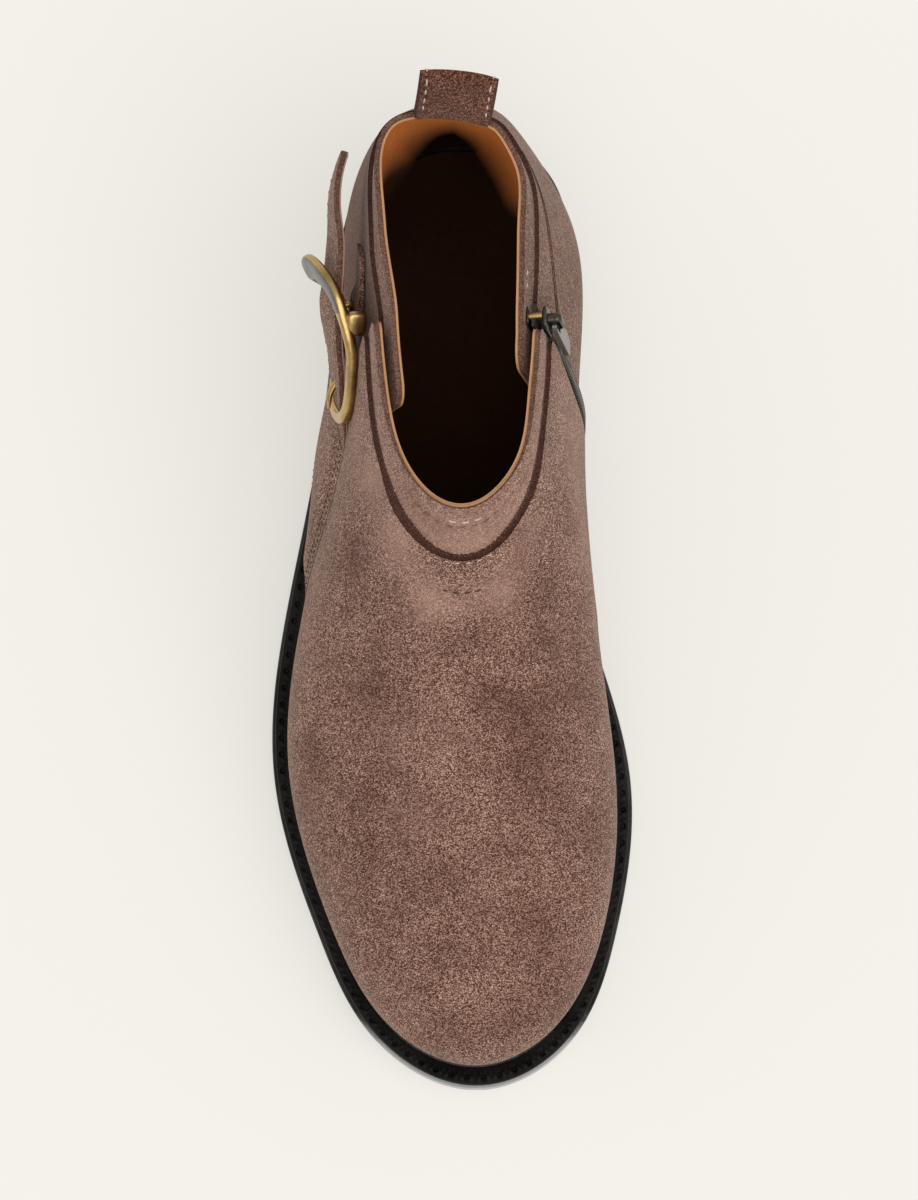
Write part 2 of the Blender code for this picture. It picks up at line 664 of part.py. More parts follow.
def build_buckle_tab(group, helpers, finish, frame):
    """Tab on the quarter whose folded end holds the bar, slotted for the prong."""
    wrap = BAR_RADIUS + GAP + TAB_THICK / 2.0
    low = BAR_HIGH - wrap
    turn = np.linspace(math.radians(60.0), math.radians(270.0), 12)
    loop = np.stack([BAR_AT + wrap * np.cos(turn), BAR_HIGH + wrap * np.sin(turn)], axis=1)
    tail_at = np.linspace(BAR_AT + 3.0, BAR_AT + TAB_TAIL, 6)
    seat_high = -QUARTER_DEPTH + GAP + TAB_THICK / 2.0
    tail = np.stack([tail_at, mix(low, seat_high, smooth((tail_at - BAR_AT - 1.0) / 6.0))], axis=1)
    path = np.concatenate([loop, tail])
    way = np.gradient(path, axis=0)
    way /= np.linalg.norm(way, axis=1, keepdims=True)
    side = np.stack([-way[:, 1], way[:, 0]], axis=1) * TAB_THICK / 2.0
    across = np.linspace(-TAB_HALF_WIDE, TAB_HALF_WIDE, 5)
    sag = wall_sag(frame, path[:, 0], across)

    def face(sign):
        line = path + sign * side
        along = np.broadcast_to(line[:, :1], sag.shape)
        high = line[:, 1:2] + sag * smooth((path[:, :1] - BAR_AT - 1.0) / 6.0)
        return placed(frame, np.stack([along, np.broadcast_to(across, sag.shape), high], axis=-1))

    tab = add_object("buckle_tab", slab("buckle_tab", face(1.0), face(-1.0)), group, finish)
    slot = as_helper(box("tab_slot", (8.0, PRONG_SLOT, 12.0), helpers))
    slot.matrix_world = frame @ Matrix.Translation(Vector((BAR_AT - 1.0, 0.0, BAR_HIGH)) * MM)
    boolean(tab, slot, "DIFFERENCE")
    return tab


def wall_sag(frame, along, across):
    """Height of the wall over the buckle's flat frame at places along and across it."""
    grid = np.stack(np.meshgrid(along, across, indexing="ij") + [np.zeros((len(along), len(across)))], -1)
    flat = placed(frame, grid)
    out = np.array(frame.to_3x3())[:, 2]
    high = np.zeros(flat.shape[:2])
    for _ in range(4):
        point = flat + high[..., None] * out
        wall = on_wall(point[..., 1], point[..., 2], "lateral", 0.0)
        high = high + ((wall - point) @ out)
    return high


def wire(name, points, radius, group, finish):
    """Round wire through points."""
    data = bpy.data.curves.new(name, "CURVE")
    data.dimensions = "3D"
    data.bevel_depth = radius * MM
    data.bevel_resolution = 2
    data.use_fill_caps = True
    spline = data.splines.new("POLY")
    spline.points.add(len(points) - 1)
    for target, point in zip(spline.points, np.asarray(points) * MM):
        target.co = (*point, 1.0)
    return add_object(name, data, group, finish)


def build_buckle_prong(group, finish, frame):
    """Prong: an eye round the bar, then a rise through the strap to rest on the front of the frame."""
    wrap = BAR_RADIUS + GAP + PRONG_RADIUS
    turn = np.radians(np.linspace(-110.0, 150.0, 12))
    eye = np.stack([BAR_AT + wrap * np.cos(turn), BAR_HIGH + wrap * np.sin(turn)], axis=1)
    tip_high = BUCKLE_FRONT_HIGH + BUCKLE_THICK + GAP + PRONG_RADIUS
    knee = (BAR_AT - 9.0, tip_high - 0.3)
    tip = (-BUCKLE_HALF_LONG - 1.0, tip_high - 0.1)
    arm = np.array([knee, (-12.0, tip_high + 0.2), (-18.0, tip_high), tip])
    line = np.concatenate([eye, arm])
    local = np.stack([line[:, 0], np.zeros(len(line)), line[:, 1]], axis=1)
    return wire("buckle_prong", placed(frame, local), PRONG_RADIUS, group, finish)


def build_pull_loop(group, finish):
    """Folded strip at the back of the collar: one leg outside, the other on its top edge."""
    band_out = QUARTER_DEPTH + BODY_LAYER
    band_in = QUARTER_DEPTH + WALL
    outer_leg = band_out - GAP - LOOP_THICK / 2.0
    inner_leg = (band_out + band_in) / 2.0
    back = math.pi + LOOP_SHIFT / periodic(column(STATIONS, "collar"), math.pi)
    half_turn = math.asin(LOOP_WIDE / 2.0 / periodic(column(STATIONS, "collar"), back))
    angle = back + np.linspace(half_turn, -half_turn, 5)
    middle = (outer_leg + inner_leg) / 2.0
    radius = (inner_leg - outer_leg) / 2.0
    turn = np.linspace(0.0, math.pi, 7)
    arc = np.stack([middle - radius * np.cos(turn), LOOP_TALL - radius + radius * np.sin(turn)], axis=1)
    outer = np.stack([np.full(5, outer_leg), np.linspace(-8.6, LOOP_TALL - radius - 4.0, 5)], axis=1)
    inner = np.stack([np.full(5, inner_leg), np.linspace(LOOP_TALL - radius - 4.0, GAP + 0.1, 5)], axis=1)
    path = np.concatenate([outer, arc, inner])
    way = np.gradient(path, axis=0)
    way /= np.linalg.norm(way, axis=1, keepdims=True)
    side = np.stack([-way[:, 1], way[:, 0]], axis=1) * LOOP_THICK / 2.0
    fall = np.linalg.norm(surface(back, 1.0) - surface(back, 0.98)) / 0.02

    def face(sign):
        line = path + sign * side
        depth, high = line[:, :1], line[:, 1:2]
        level = np.broadcast_to(np.minimum(1.0, 1.0 + high / fall), (len(line), len(angle)))
        turned = np.broadcast_to(angle, level.shape)
        points = inset(turned, level, np.broadcast_to(depth, level.shape))
        above = np.maximum(high, 0.0)
        points[..., 2] += above
        points[..., 1] += LOOP_LEAN * (above / LOOP_TALL) ** 1.5
        return points

    return add_object("pull_loop", slab("pull_loop", face(1.0), face(-1.0)), group, finish)


def chain_line(z):
    """Middle line of the zip behind the vamp's medial edge."""
    return lap_value("medial_y", z) + CHAIN_SET_BACK


def build_zip_chain(group, finish):
    """Closed zip lying on the quarter beside the vamp's edge."""
    z = np.linspace(CHAIN_LOW_Z, CHAIN_TOP_Z, 28)
    across = np.linspace(-CHAIN_WIDE / 2.0, CHAIN_WIDE / 2.0, 3)
    y = chain_line(z)[:, None] + across
    high = np.broadcast_to(z[:, None], y.shape)
    angle, level = wall_angles(y, high, "medial")
    floor = QUARTER_DEPTH + slit_depth(angle, level, surface(angle, level)) - GAP
    low = inset(angle, level, floor)
    top = inset(angle, level, floor - CHAIN_THICK)
    return add_object("zip_chain", slab("zip_chain", top, low), group, finish)


def zip_frame():
    """Frame of the slider: X down the zip, Z outwards."""
    below = on_wall(chain_line(SLIDER_Z - 4.0), SLIDER_Z - 4.0, "medial", 0.0)
    above = on_wall(chain_line(SLIDER_Z + 4.0), SLIDER_Z + 4.0, "medial", 0.0)
    frame = wall_frame(chain_line(SLIDER_Z), SLIDER_Z, "medial", (below - above).ravel())
    angle, level = wall_angles(chain_line(SLIDER_Z), SLIDER_Z, "medial")
    drop = QUARTER_DEPTH + slit_depth(angle, level, surface(angle, level)) - GAP - CHAIN_THICK
    return frame @ Matrix.Translation((0.0, 0.0, -float(drop) * MM))


def build_zip_slider(group, helpers, finish, frame):
    """Slider plate with an open bridge on it."""
    low = GAP + 0.2
    plate = box("zip_slider", (SLIDER_LONG, SLIDER_WIDE, SLIDER_THICK), group, finish)
    plate.matrix_world = frame @ Matrix.Translation((0.0, 0.0, (low + SLIDER_THICK / 2.0) * MM))
    top = low + SLIDER_THICK
    tall = BRIDGE_OPEN + BRIDGE_THICK
    bridge = as_helper(box("bridge_form", (BRIDGE_LONG, BRIDGE_WIDE, tall + 0.6), helpers))
    bridge.matrix_world = frame @ Matrix.Translation((0.0, 0.0, (top + tall / 2.0 - 0.3) * MM))
    free = BRIDGE_LONG - 2.0 * BRIDGE_THICK
    opening = as_helper(box("bridge_opening", (free, 9.0, BRIDGE_OPEN), helpers))
    opening.matrix_world = frame @ Matrix.Translation((0.0, 0.0, (top + BRIDGE_OPEN / 2.0) * MM))
    boolean(plate, bridge, "UNION")
    boolean(plate, opening, "DIFFERENCE")
    return plate, top + BRIDGE_OPEN / 2.0


def flat_loop(data, points):
    """Closed straight-sided outline of a flat curve."""
    spline = data.splines.new("POLY")
    spline.points.add(len(points) - 1)
    for target, point in zip(spline.points, points):
        target.co = (point[0] * MM, point[1] * MM, 0.0, 1.0)
    spline.use_cyclic_u = True


def build_zip_pull(group, finish, frame, axis_high):
    """Pull tab: a window at its top end goes round the bridge; its origin is on the hinge axis."""
    data = bpy.data.curves.new("zip_pull", "CURVE")
    data.dimensions = "2D"
    data.fill_mode = "BOTH"
    data.extrude = PULL_THICK / 2.0 * MM
    half = PULL_WIDE / 2.0
    turn = np.linspace(-math.pi / 2.0, math.pi / 2.0, 9)
    end = np.stack([PULL_LONG - half + half * np.cos(turn), half * np.sin(turn)], axis=1)
    flat_loop(data, [(-PULL_EYE, half), (-PULL_EYE, -half), *end.tolist()])
    inner = PULL_WINDOW_WIDE / 2.0
    window = [(PULL_EYE, -inner), (PULL_WINDOW_END, -inner), (PULL_WINDOW_END, inner), (PULL_EYE, inner)]
    flat_loop(data, window)
    pull = add_object("zip_pull", data, group, finish)
    pull.matrix_world = frame @ Matrix.Translation((0.0, 0.0, axis_high * MM))
    return pull


def main():
    """Build the bootie."""
    clear_scene()
    parts = collection("ankle_bootie")
    helpers = collection("helpers")
    suede = material("suede", (0.19, 0.115, 0.085), 0.95)
    strap_suede = material("strap_suede", (0.085, 0.045, 0.032), 0.95)
    loop_suede = material("loop_suede", (0.115, 0.05, 0.034), 0.95)
    rubber = material("sole_rubber", (0.02, 0.017, 0.014), 0.6)
    welt_rubber = material("welt_rubber", (0.018, 0.014, 0.012), 0.55)
    heel_rubber = material("heel_rubber", (0.02, 0.017, 0.014), 0.65)
    lining = material("insole_leather", (0.3, 0.14, 0.06), 0.6)
    brass = material("antique_brass", (0.44, 0.3, 0.14), 0.3, 1.0)
    dark_metal = material("dark_zip_metal", (0.1, 0.085, 0.07), 0.4, 1.0)
    build_outsole(parts, rubber)
    build_heel(parts, heel_rubber)
    build_welt(parts, welt_rubber)
    build_insole(parts, lining)
    build_upper(parts, helpers, suede)
    path = strap_path(200)
    near = np.abs(path[:, 0] - BUCKLE_Y).argmin()
    ahead = on_wall(path[near + 6, 0], path[near + 6, 1], "lateral", 0.0)
    behind = on_wall(path[near - 6, 0], path[near - 6, 1], "lateral", 0.0)
    buckle = wall_frame(BUCKLE_Y, BUCKLE_Z, "lateral", (ahead - behind).ravel())
    buckle = buckle @ Matrix.Rotation(math.radians(BUCKLE_ROLL), 4, "X")
    build_strap(parts, helpers, strap_suede, buckle)
    build_buckle_tab(parts, helpers, strap_suede, buckle)
    build_buckle_frame(parts, helpers, brass, buckle)
    build_buckle_prong(parts, brass, buckle)
    build_pull_loop(parts, loop_suede)
    build_zip_chain(parts, dark_metal)
    slide = zip_frame()
    slider, axis_high = build_zip_slider(parts, helpers, dark_metal, slide)
    build_zip_pull(parts, brass, slide, axis_high)


main()
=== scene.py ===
"""Looks of a right-foot suede ankle bootie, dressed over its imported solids.

Axes: +X is the inner (medial) side, +Y the heel, +Z up, and the floor is Z = 0.
Sizes are millimetres until a mesh is made, and colours are written as they look, from 0 to 255.
"""
from dataclasses import dataclass, field
from enum import Enum
import json
import logging
import math
from typing import Callable, Union

import bpy
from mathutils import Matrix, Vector
import numpy as np

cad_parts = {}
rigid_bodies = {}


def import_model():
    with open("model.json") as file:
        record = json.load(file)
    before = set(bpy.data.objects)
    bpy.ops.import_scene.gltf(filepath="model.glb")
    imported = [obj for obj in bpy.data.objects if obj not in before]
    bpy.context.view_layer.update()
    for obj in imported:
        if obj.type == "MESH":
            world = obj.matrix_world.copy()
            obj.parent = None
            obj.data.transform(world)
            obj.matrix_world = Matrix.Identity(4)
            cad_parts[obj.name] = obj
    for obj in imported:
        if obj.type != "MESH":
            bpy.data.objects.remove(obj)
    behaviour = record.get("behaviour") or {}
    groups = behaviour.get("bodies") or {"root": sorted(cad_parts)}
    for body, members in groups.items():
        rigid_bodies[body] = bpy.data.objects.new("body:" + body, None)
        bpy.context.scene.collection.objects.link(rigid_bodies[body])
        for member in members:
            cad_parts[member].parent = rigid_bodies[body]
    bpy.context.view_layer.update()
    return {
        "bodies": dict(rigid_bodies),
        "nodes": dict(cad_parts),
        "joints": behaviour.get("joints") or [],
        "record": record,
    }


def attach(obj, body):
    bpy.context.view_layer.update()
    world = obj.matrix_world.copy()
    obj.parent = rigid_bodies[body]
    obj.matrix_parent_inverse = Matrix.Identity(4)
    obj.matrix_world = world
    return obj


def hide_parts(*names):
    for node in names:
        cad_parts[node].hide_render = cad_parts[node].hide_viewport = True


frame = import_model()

LOG = logging.getLogger("bootie")
MM = 0.001
TURN = 2.0 * math.pi
BOOT = "boot"
PULL = "pull"
SHARP = math.radians(42.0)
STEP = 0.002
Array = np.ndarray
Colour = tuple[float, float, float]
Socket = bpy.types.NodeSocket
Value = Union[float, tuple, Socket]


class Side(Enum):
    """Side of the foot, with the sign of its angles on the last."""

    LATERAL = 1.0
    MEDIAL = -1.0


def smooth(value: Array) -> Array:
    """Ease from 0 to 1 along 3v^2 - 2v^3."""
    value = np.clip(value, 0.0, 1.0)
    return value * value * (3.0 - 2.0 * value)


def mix(start: Array, end: Array, share: Array) -> Array:
    """Straight blend of two values."""
    return start + (end - start) * share


def unit(vectors: Array) -> Array:
    """Vectors scaled to a length of one."""
    return vectors / np.linalg.norm(vectors, axis=-1, keepdims=True)


def reach(path: Array) -> Array:
    """Distance along a line of points from its start."""
    steps = np.linalg.norm(np.diff(path, axis=0), axis=1)
    return np.concatenate([[0.0], np.cumsum(steps)])


def sample(path: Array, place: Array) -> Array:
    """Points of a line at distances from its start, straight between its own points."""
    way = reach(path)
    return np.stack([np.interp(place, way, path[:, k]) for k in range(path.shape[1])], axis=1)


def eased(values: Array, width: int) -> Array:
    """Moving mean down the columns of a table whose first and last row are repeated.

    Args:
        values: Table of rows.
        width: Number of rows in the mean.

    Returns:
        The smoothed table.
    """
    kernel = np.ones(width) / width
    padded = np.pad(values, ((width // 2, width - 1 - width // 2), (0, 0)), mode="edge")
    return np.stack([np.convolve(padded[:, k], kernel, "valid") for k in range(values.shape[1])], axis=1)


def crowded(count: int, pull: float = 0.7) -> Array:
    """Shares from 0 to 1 that crowd towards both ends: t - pull sin(2 pi t) / (2 pi)."""
    t = np.linspace(0.0, 1.0, count)
    return t - pull * np.sin(TURN * t) / TURN


def bent(value: Array, power: float) -> Array:
    """Size raised to a power with its sign kept, which squares up a sine or cosine."""
    return np.sign(value) * np.abs(value) ** power


def raised(plan: Array, z: Array) -> Array:
    """Points in plan with their heights."""
    return np.concatenate([plan, z[..., None]], axis=-1)


def linear(colour: Colour) -> tuple[float, float, float, float]:
    """Colour for a shader, by a straight line at the dark end and then a power of 2.4.

    Args:
        colour: Red, green and blue as they look, from 0 to 255.

    Returns:
        Scene-linear colour with full alpha.
    """
    share = np.asarray(colour, float) / 255.0
    value = np.where(share <= 0.04045, share / 12.92, ((share + 0.055) / 1.055) ** 2.4)
    return (*value.tolist(), 1.0)


@dataclass
class Form:
    """A closed mesh as arrays.

    Attributes:
        points: Corner positions in millimetres.
        quads: Four corners of each quad.
        tris: Three corners of each triangle.
        finish: Material number of each quad.
        marks: Named values at the corners that a material reads.
        rim: For each corner of a rounded rim, the corner of the grid that it belongs to.
    """

    points: Array
    quads: Array
    tris: Array = field(default_factory=lambda: np.zeros((0, 3), int))
    finish: Array = field(default_factory=lambda: np.zeros(0, int))
    marks: dict[str, Array] = field(default_factory=dict)
    rim: Array = field(default_factory=lambda: np.zeros(0, int))

    def spread(self, values: Array) -> Array:
        """Values of a slab's grid at all its corners: both faces and the rim."""
        return np.concatenate([values.ravel(), values.ravel(), values.ravel()[self.rim]])

    def outward(self) -> "Form":
        """Turn the faces out where the signed volume, a sum of triple products, is negative.

        Returns:
            The form itself.
        """
        halves = np.concatenate([self.quads[:, [0, 1, 2]], self.quads[:, [0, 2, 3]], self.tris])
        a, b, c = (self.points[halves[:, k]] for k in range(3))
        if np.einsum("ij,ij->i", a, np.cross(b, c)).sum() < 0.0:
            self.quads = self.quads[:, ::-1]
            self.tris = self.tris[:, ::-1]
        return self


def joined(forms: list[Form]) -> Form:
    """Several closed bodies as one mesh."""
    starts = np.cumsum([0] + [len(form.points) for form in forms[:-1]])
    return Form(
        np.concatenate([form.points for form in forms]),
        np.concatenate([form.quads + start for form, start in zip(forms, starts)]),
        np.concatenate([form.tris + start for form, start in zip(forms, starts)]),
        np.concatenate([np.resize(form.finish, len(form.quads)) if len(form.finish)
                        else np.zeros(len(form.quads), int) for form in forms]),
    )


def copies(shape: Form, centres: Array, frames: Array) -> Form:
    """One form repeated at many places, each point as a sum of its frame's directions.

    Args:
        shape: The form round its own origin.
        centres: Place of each copy.
        frames: Three directions of each copy as rows.

    Returns:
        All copies as one form.
    """
    points = centres[:, None] + np.einsum("vk,nkd->nvd", shape.points, frames)
    starts = (np.arange(len(centres)) * len(shape.points))[:, None, None]
    quads = (shape.quads[None] + starts).reshape(-1, 4)
    return Form(points.reshape(-1, 3), quads, (shape.tris[None] + starts).reshape(-1, 3))


def grid_quads(rows: int, columns: int, wrap: bool = False) -> Array:
    """Quads between neighbouring rows and columns of a grid.

    Args:
        rows: Rows of the grid.
        columns: Corners of each row.
        wrap: Whether the last column joins the first.

    Returns:
        Four corner numbers of each quad.
    """
    index = np.arange(rows * columns).reshape(rows, columns)
    if wrap:
        index = np.concatenate([index, index[:, :1]], axis=1)
    corners = (index[:-1, :-1], index[1:, :-1], index[1:, 1:], index[:-1, 1:])
    return np.stack(corners, axis=-1).reshape(-1, 4)


def slab(outer: Array, inner: Array, finish: tuple[int, ...] = (0, 0, 0, 0), edge: tuple = ()) -> Form:
    """Closed body between two matching grids, with a rim of straight or bulging sides.

    Args:
        outer: Grid of outer points, rows by columns.
        inner: Matching grid of inner points.
        finish: Material numbers of the outer face, the inner face and the rim, then of the last row's
            rim where it differs.
        edge: Rows of the rim as (share from outer to inner, bulge away from the middle).

    Returns:
        The closed form.
    """
    rows, columns = outer.shape[:2]
    count = rows * columns
    index = np.arange(count).reshape(rows, columns)
    face = grid_quads(rows, columns)
    rim = np.concatenate([index[0, :], index[1:, -1], index[-1, -2::-1], index[-2:0:-1, 0]])
    outer, inner = outer.reshape(-1, 3), inner.reshape(-1, 3)
    top, low = outer[rim], inner[rim]
    along = unit(np.roll(top, -1, axis=0) - np.roll(top, 1, axis=0))
    away = unit(np.cross(along, unit(top - low)))
    layers = [mix(top, low, share) + away * bulge for share, bulge in edge]
    loops = [rim]
    for k in range(len(layers)):
        loops.append(2 * count + k * len(rim) + np.arange(len(rim)))
    loops.append(rim + count)
    sides = [np.stack([a, np.roll(a, -1), np.roll(b, -1), b], axis=1) for a, b in zip(loops, loops[1:])]
    quads = np.concatenate([face, face[:, ::-1] + count, *sides])
    border = np.full(len(rim), finish[2])
    border[columns + rows - 2:2 * columns + rows - 3] = finish[-1]
    kinds = np.concatenate([np.repeat(finish[:2], len(face)), np.tile(border, len(sides))])
    points = np.concatenate([outer, inner, *layers])
    return Form(points, quads, finish=kinds, rim=np.tile(rim, len(layers))).outward()


def loft(sections: Array, ring: bool = False) -> Form:
    """Closed body through a run of closed sections, as a ring or with its two ends capped.

    Args:
        sections: Points as steps by sides.
        ring: Whether the last section joins the first.

    Returns:
        The closed form.
    """
    steps, sides = sections.shape[:2]
    if ring:
        quads = grid_quads(steps + 1, sides, wrap=True) % (steps * sides)
        return Form(sections.reshape(-1, 3), quads).outward()
    ends = np.stack([sections[0].mean(axis=0), sections[-1].mean(axis=0)])
    first = np.arange(sides)
    last = first + (steps - 1) * sides
    middle = steps * sides
    start_fan = np.stack([np.full(sides, middle), first, np.roll(first, -1)], axis=1)
    end_fan = np.stack([np.full(sides, middle + 1), np.roll(last, -1), last], axis=1)
    points = np.concatenate([sections.reshape(-1, 3), ends])
    quads = grid_quads(steps, sides, wrap=True)
    return Form(points, quads[:, ::-1], np.concatenate([start_fan, end_fan])[:, ::-1]).outward()


def tube(path: Array, radius: Array, sides: int = 12, flat: float = 1.0, up: Array = None) -> Form:
    """Round or flattened rod along a line of points.

    Args:
        path: Middle line.
        radius: Radius at each point, across the up direction.
        sides: Corners of the section.
        flat: Height of the section as a share of its width.
        up: Direction that the flattened side faces.

    Returns:
        The closed form.
    """
    way = unit(np.gradient(path, axis=0))
    up = np.array([0.3, 0.2, 1.0]) if up is None else up
    across = unit(np.cross(way, up))
    rise = np.cross(across, way)
    spin = np.linspace(0.0, TURN, sides, endpoint=False)
    radius = np.broadcast_to(radius, len(path))[:, None, None]
    ring = across[:, None] * np.cos(spin)[None, :, None]
    ring = ring + rise[:, None] * (flat * np.sin(spin))[None, :, None]
    return loft(path[:, None] + ring * radius)


def blob(centre: Array, axes: Array, size: tuple[float, float, float], power: float = 0.7) -> Form:
    """Rounded block: a sphere whose sines and cosines are raised to a power below one.

    Args:
        centre: Middle point.
        axes: Three unit directions as rows.
        size: Half sizes along them.
        power: 1 for an ellipsoid, towards 0 for a box.

    Returns:
        The closed form.
    """
    steep = 0.49 * math.pi
    tilt = np.linspace(-steep, steep, 13)[:, None]
    spin = np.linspace(0.0, TURN, 20, endpoint=False)[None, :]
    wide = bent(np.cos(tilt), power)
    tall = bent(np.sin(tilt), power) * np.ones_like(spin)
    local = np.stack([wide * bent(np.cos(spin), power), wide * bent(np.sin(spin), power), tall], axis=-1)
    return loft(centre + (local * np.asarray(size)) @ axes)


def stand(name: str, data: bpy.types.ID) -> bpy.types.Object:
    """New object of the scene for a mesh, a light or a camera."""
    item = bpy.data.objects.new(name, data)
    bpy.context.scene.collection.objects.link(item)
    return item


def add_piece(name: str, form: Form, finishes: list["Palette"],
              body: str = BOOT) -> bpy.types.Object:
    """Make a mesh object in metres, dress it and let it ride on a body.

    Args:
        name: Name of the piece.
        form: Its closed mesh.
        finishes: Finishes by material number.
        body: Body that it moves with.

    Returns:
        The object.
    """
    mesh = bpy.data.meshes.new(name)
    mesh.from_pydata((form.points * MM).tolist(), [], form.quads.tolist() + form.tris.tolist())
    if len(form.finish):
        kinds = np.concatenate([form.finish, np.zeros(len(form.tris), int)])
        mesh.polygons.foreach_set("material_index", kinds.astype(np.int32))
    for mark, values in form.marks.items():
        mesh.attributes.new(mark, "FLOAT", "POINT").data.foreach_set("value", values.astype(np.float32))
    mesh.update()
    mesh.shade_smooth()
    mesh.set_sharp_from_angle(angle=SHARP)
    for finish in finishes:
        mesh.materials.append(finish.material())
    item = stand(name, mesh)
    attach(item, body)
    LOG.info("%s: %d faces on %s", name, len(mesh.polygons), body)
    return item


@dataclass
class Wiring:
    """Places and joins the nodes of one tree."""

    tree: bpy.types.NodeTree

    def add(self, kind: str, inputs: dict[Union[int, str], Value], **settings: object) -> bpy.types.Node:
        """Add a node with its settings and inputs.

        Args:
            kind: Node type.
            inputs: Socket name or number to a plain value or to another node's output.
            settings: Properties of the node.

        Returns:
            The node.
        """
        node = self.tree.nodes.new(kind)
        for name, value in settings.items():
            setattr(node, name, value)
        for name, value in inputs.items():
            if isinstance(value, Socket):
                self.tree.links.new(value, node.inputs[name])
            else:
                node.inputs[name].default_value = value
        return node

    def maths(self, operation: str, *values: Value) -> Socket:
        """Output of a Math node."""
        return self.add("ShaderNodeMath", dict(enumerate(values)), operation=operation).outputs[0]

    def swing(self, value: Value, middle: float, size: Value, base: Value = 1.0) -> Socket:
        """A base plus the value's distance from its middle times a size."""
        return self.maths("MULTIPLY_ADD", self.maths("SUBTRACT", value, middle), size, base)

    def place(self, factors: tuple[float, float, float]) -> Socket:
        """The piece's own place, scaled along its three axes."""
        own = self.add("ShaderNodeTexCoord", {}).outputs["Object"]
        return self.add("ShaderNodeVectorMath", {0: own, 1: factors}, operation="MULTIPLY").outputs[0]

    def cells(self, scale: Value, upright: float = 1.0, along: float = 1.0) -> bpy.types.Node:
        """Cells of chance colours by the piece's own place, longer where upright or along is below 1."""
        inputs = {"Vector": self.place((1.0, along, upright)), "Scale": scale}
        return self.add("ShaderNodeTexVoronoi", inputs, feature="F1")

    def noise(self, scale: Value, detail: float, rough: float = 0.55, upright: float = 1.0) -> Socket:
        """Noise of about 0.2 to 0.8 by the piece's own place, taller where upright is below 1."""
        inputs = {"Vector": self.place((1.0, 1.0, upright)), "Scale": scale}
        return self.add("ShaderNodeTexNoise", inputs | {"Detail": detail, "Roughness": rough}).outputs[0]

    def tint(self, colour: Value, factor: Value, other: Value, blend: str = "MIX") -> Socket:
        """Colour blended with another by a factor."""
        inputs = {0: factor, 6: colour, 7: other}
        return self.add("ShaderNodeMix", inputs, data_type="RGBA", blend_type=blend).outputs[2]

    def mark(self, name: str) -> Socket:
        """Named value at the corners of the mesh."""
        return self.add("ShaderNodeAttribute", {}, attribute_name=name).outputs["Fac"]


# Cells or waves of the surface effects in a metre.
FIBRE_SCALE = 3900.0
TUFT_SCALE = 1000.0
BRUSH_SCALE = 130.0
CLOUD_SCALE = 45.0
HIDE_CLOUD_SCALE = 60.0
PEEL_SCALE = 900.0
DUST_SCALE = 70.0
SPECK_SCALE = 1300.0
TARNISH_SCALE = 160.0
# Parts of the nap: how far the speckle is calmed under pale strokes, most of them painted highlights, and the
# base colour's factors at its two ends.
PALE_CALM = 0.6
LEAST_GAIN = 0.45
TUFT_SHARE = 0.25
BRUSH_SHARE = 0.8
DEEPEST_GREY = 0.15
DEEP_FACTOR = (0.26, 0.1, 0.06, 1.0)
PALE_FACTOR = (1.74, 1.9, 1.97, 1.0)


def open_group(name: str, inputs: dict[str, float],
               colours: dict[str, Colour]) -> tuple[Wiring, Callable, Callable]:
    """Start a shader node group with named inputs and the outputs Colour and Height.

    Args:
        name: Name of the group.
        inputs: Number inputs with their usual values.
        colours: Colour inputs with their usual values.

    Returns:
        The wiring, a function from input name to socket, and a function that sets the outputs.
    """
    tree = bpy.data.node_groups.new(name, "ShaderNodeTree")
    add = tree.interface.new_socket
    for label, colour in colours.items():
        add(label, in_out="INPUT", socket_type="NodeSocketColor").default_value = linear(colour)
    for label, value in inputs.items():
        add(label, in_out="INPUT", socket_type="NodeSocketFloat").default_value = value
    add("Colour", in_out="OUTPUT", socket_type="NodeSocketColor")
    add("Height", in_out="OUTPUT", socket_type="NodeSocketFloat")
    wiring = Wiring(tree)
    entry = wiring.add("NodeGroupInput", {})

    def leave(colour: Value, height: Value) -> None:
        """Join the outputs of the group."""
        wiring.add("NodeGroupOutput", {"Colour": colour, "Height": height})

    return wiring, lambda label: entry.outputs[label], leave


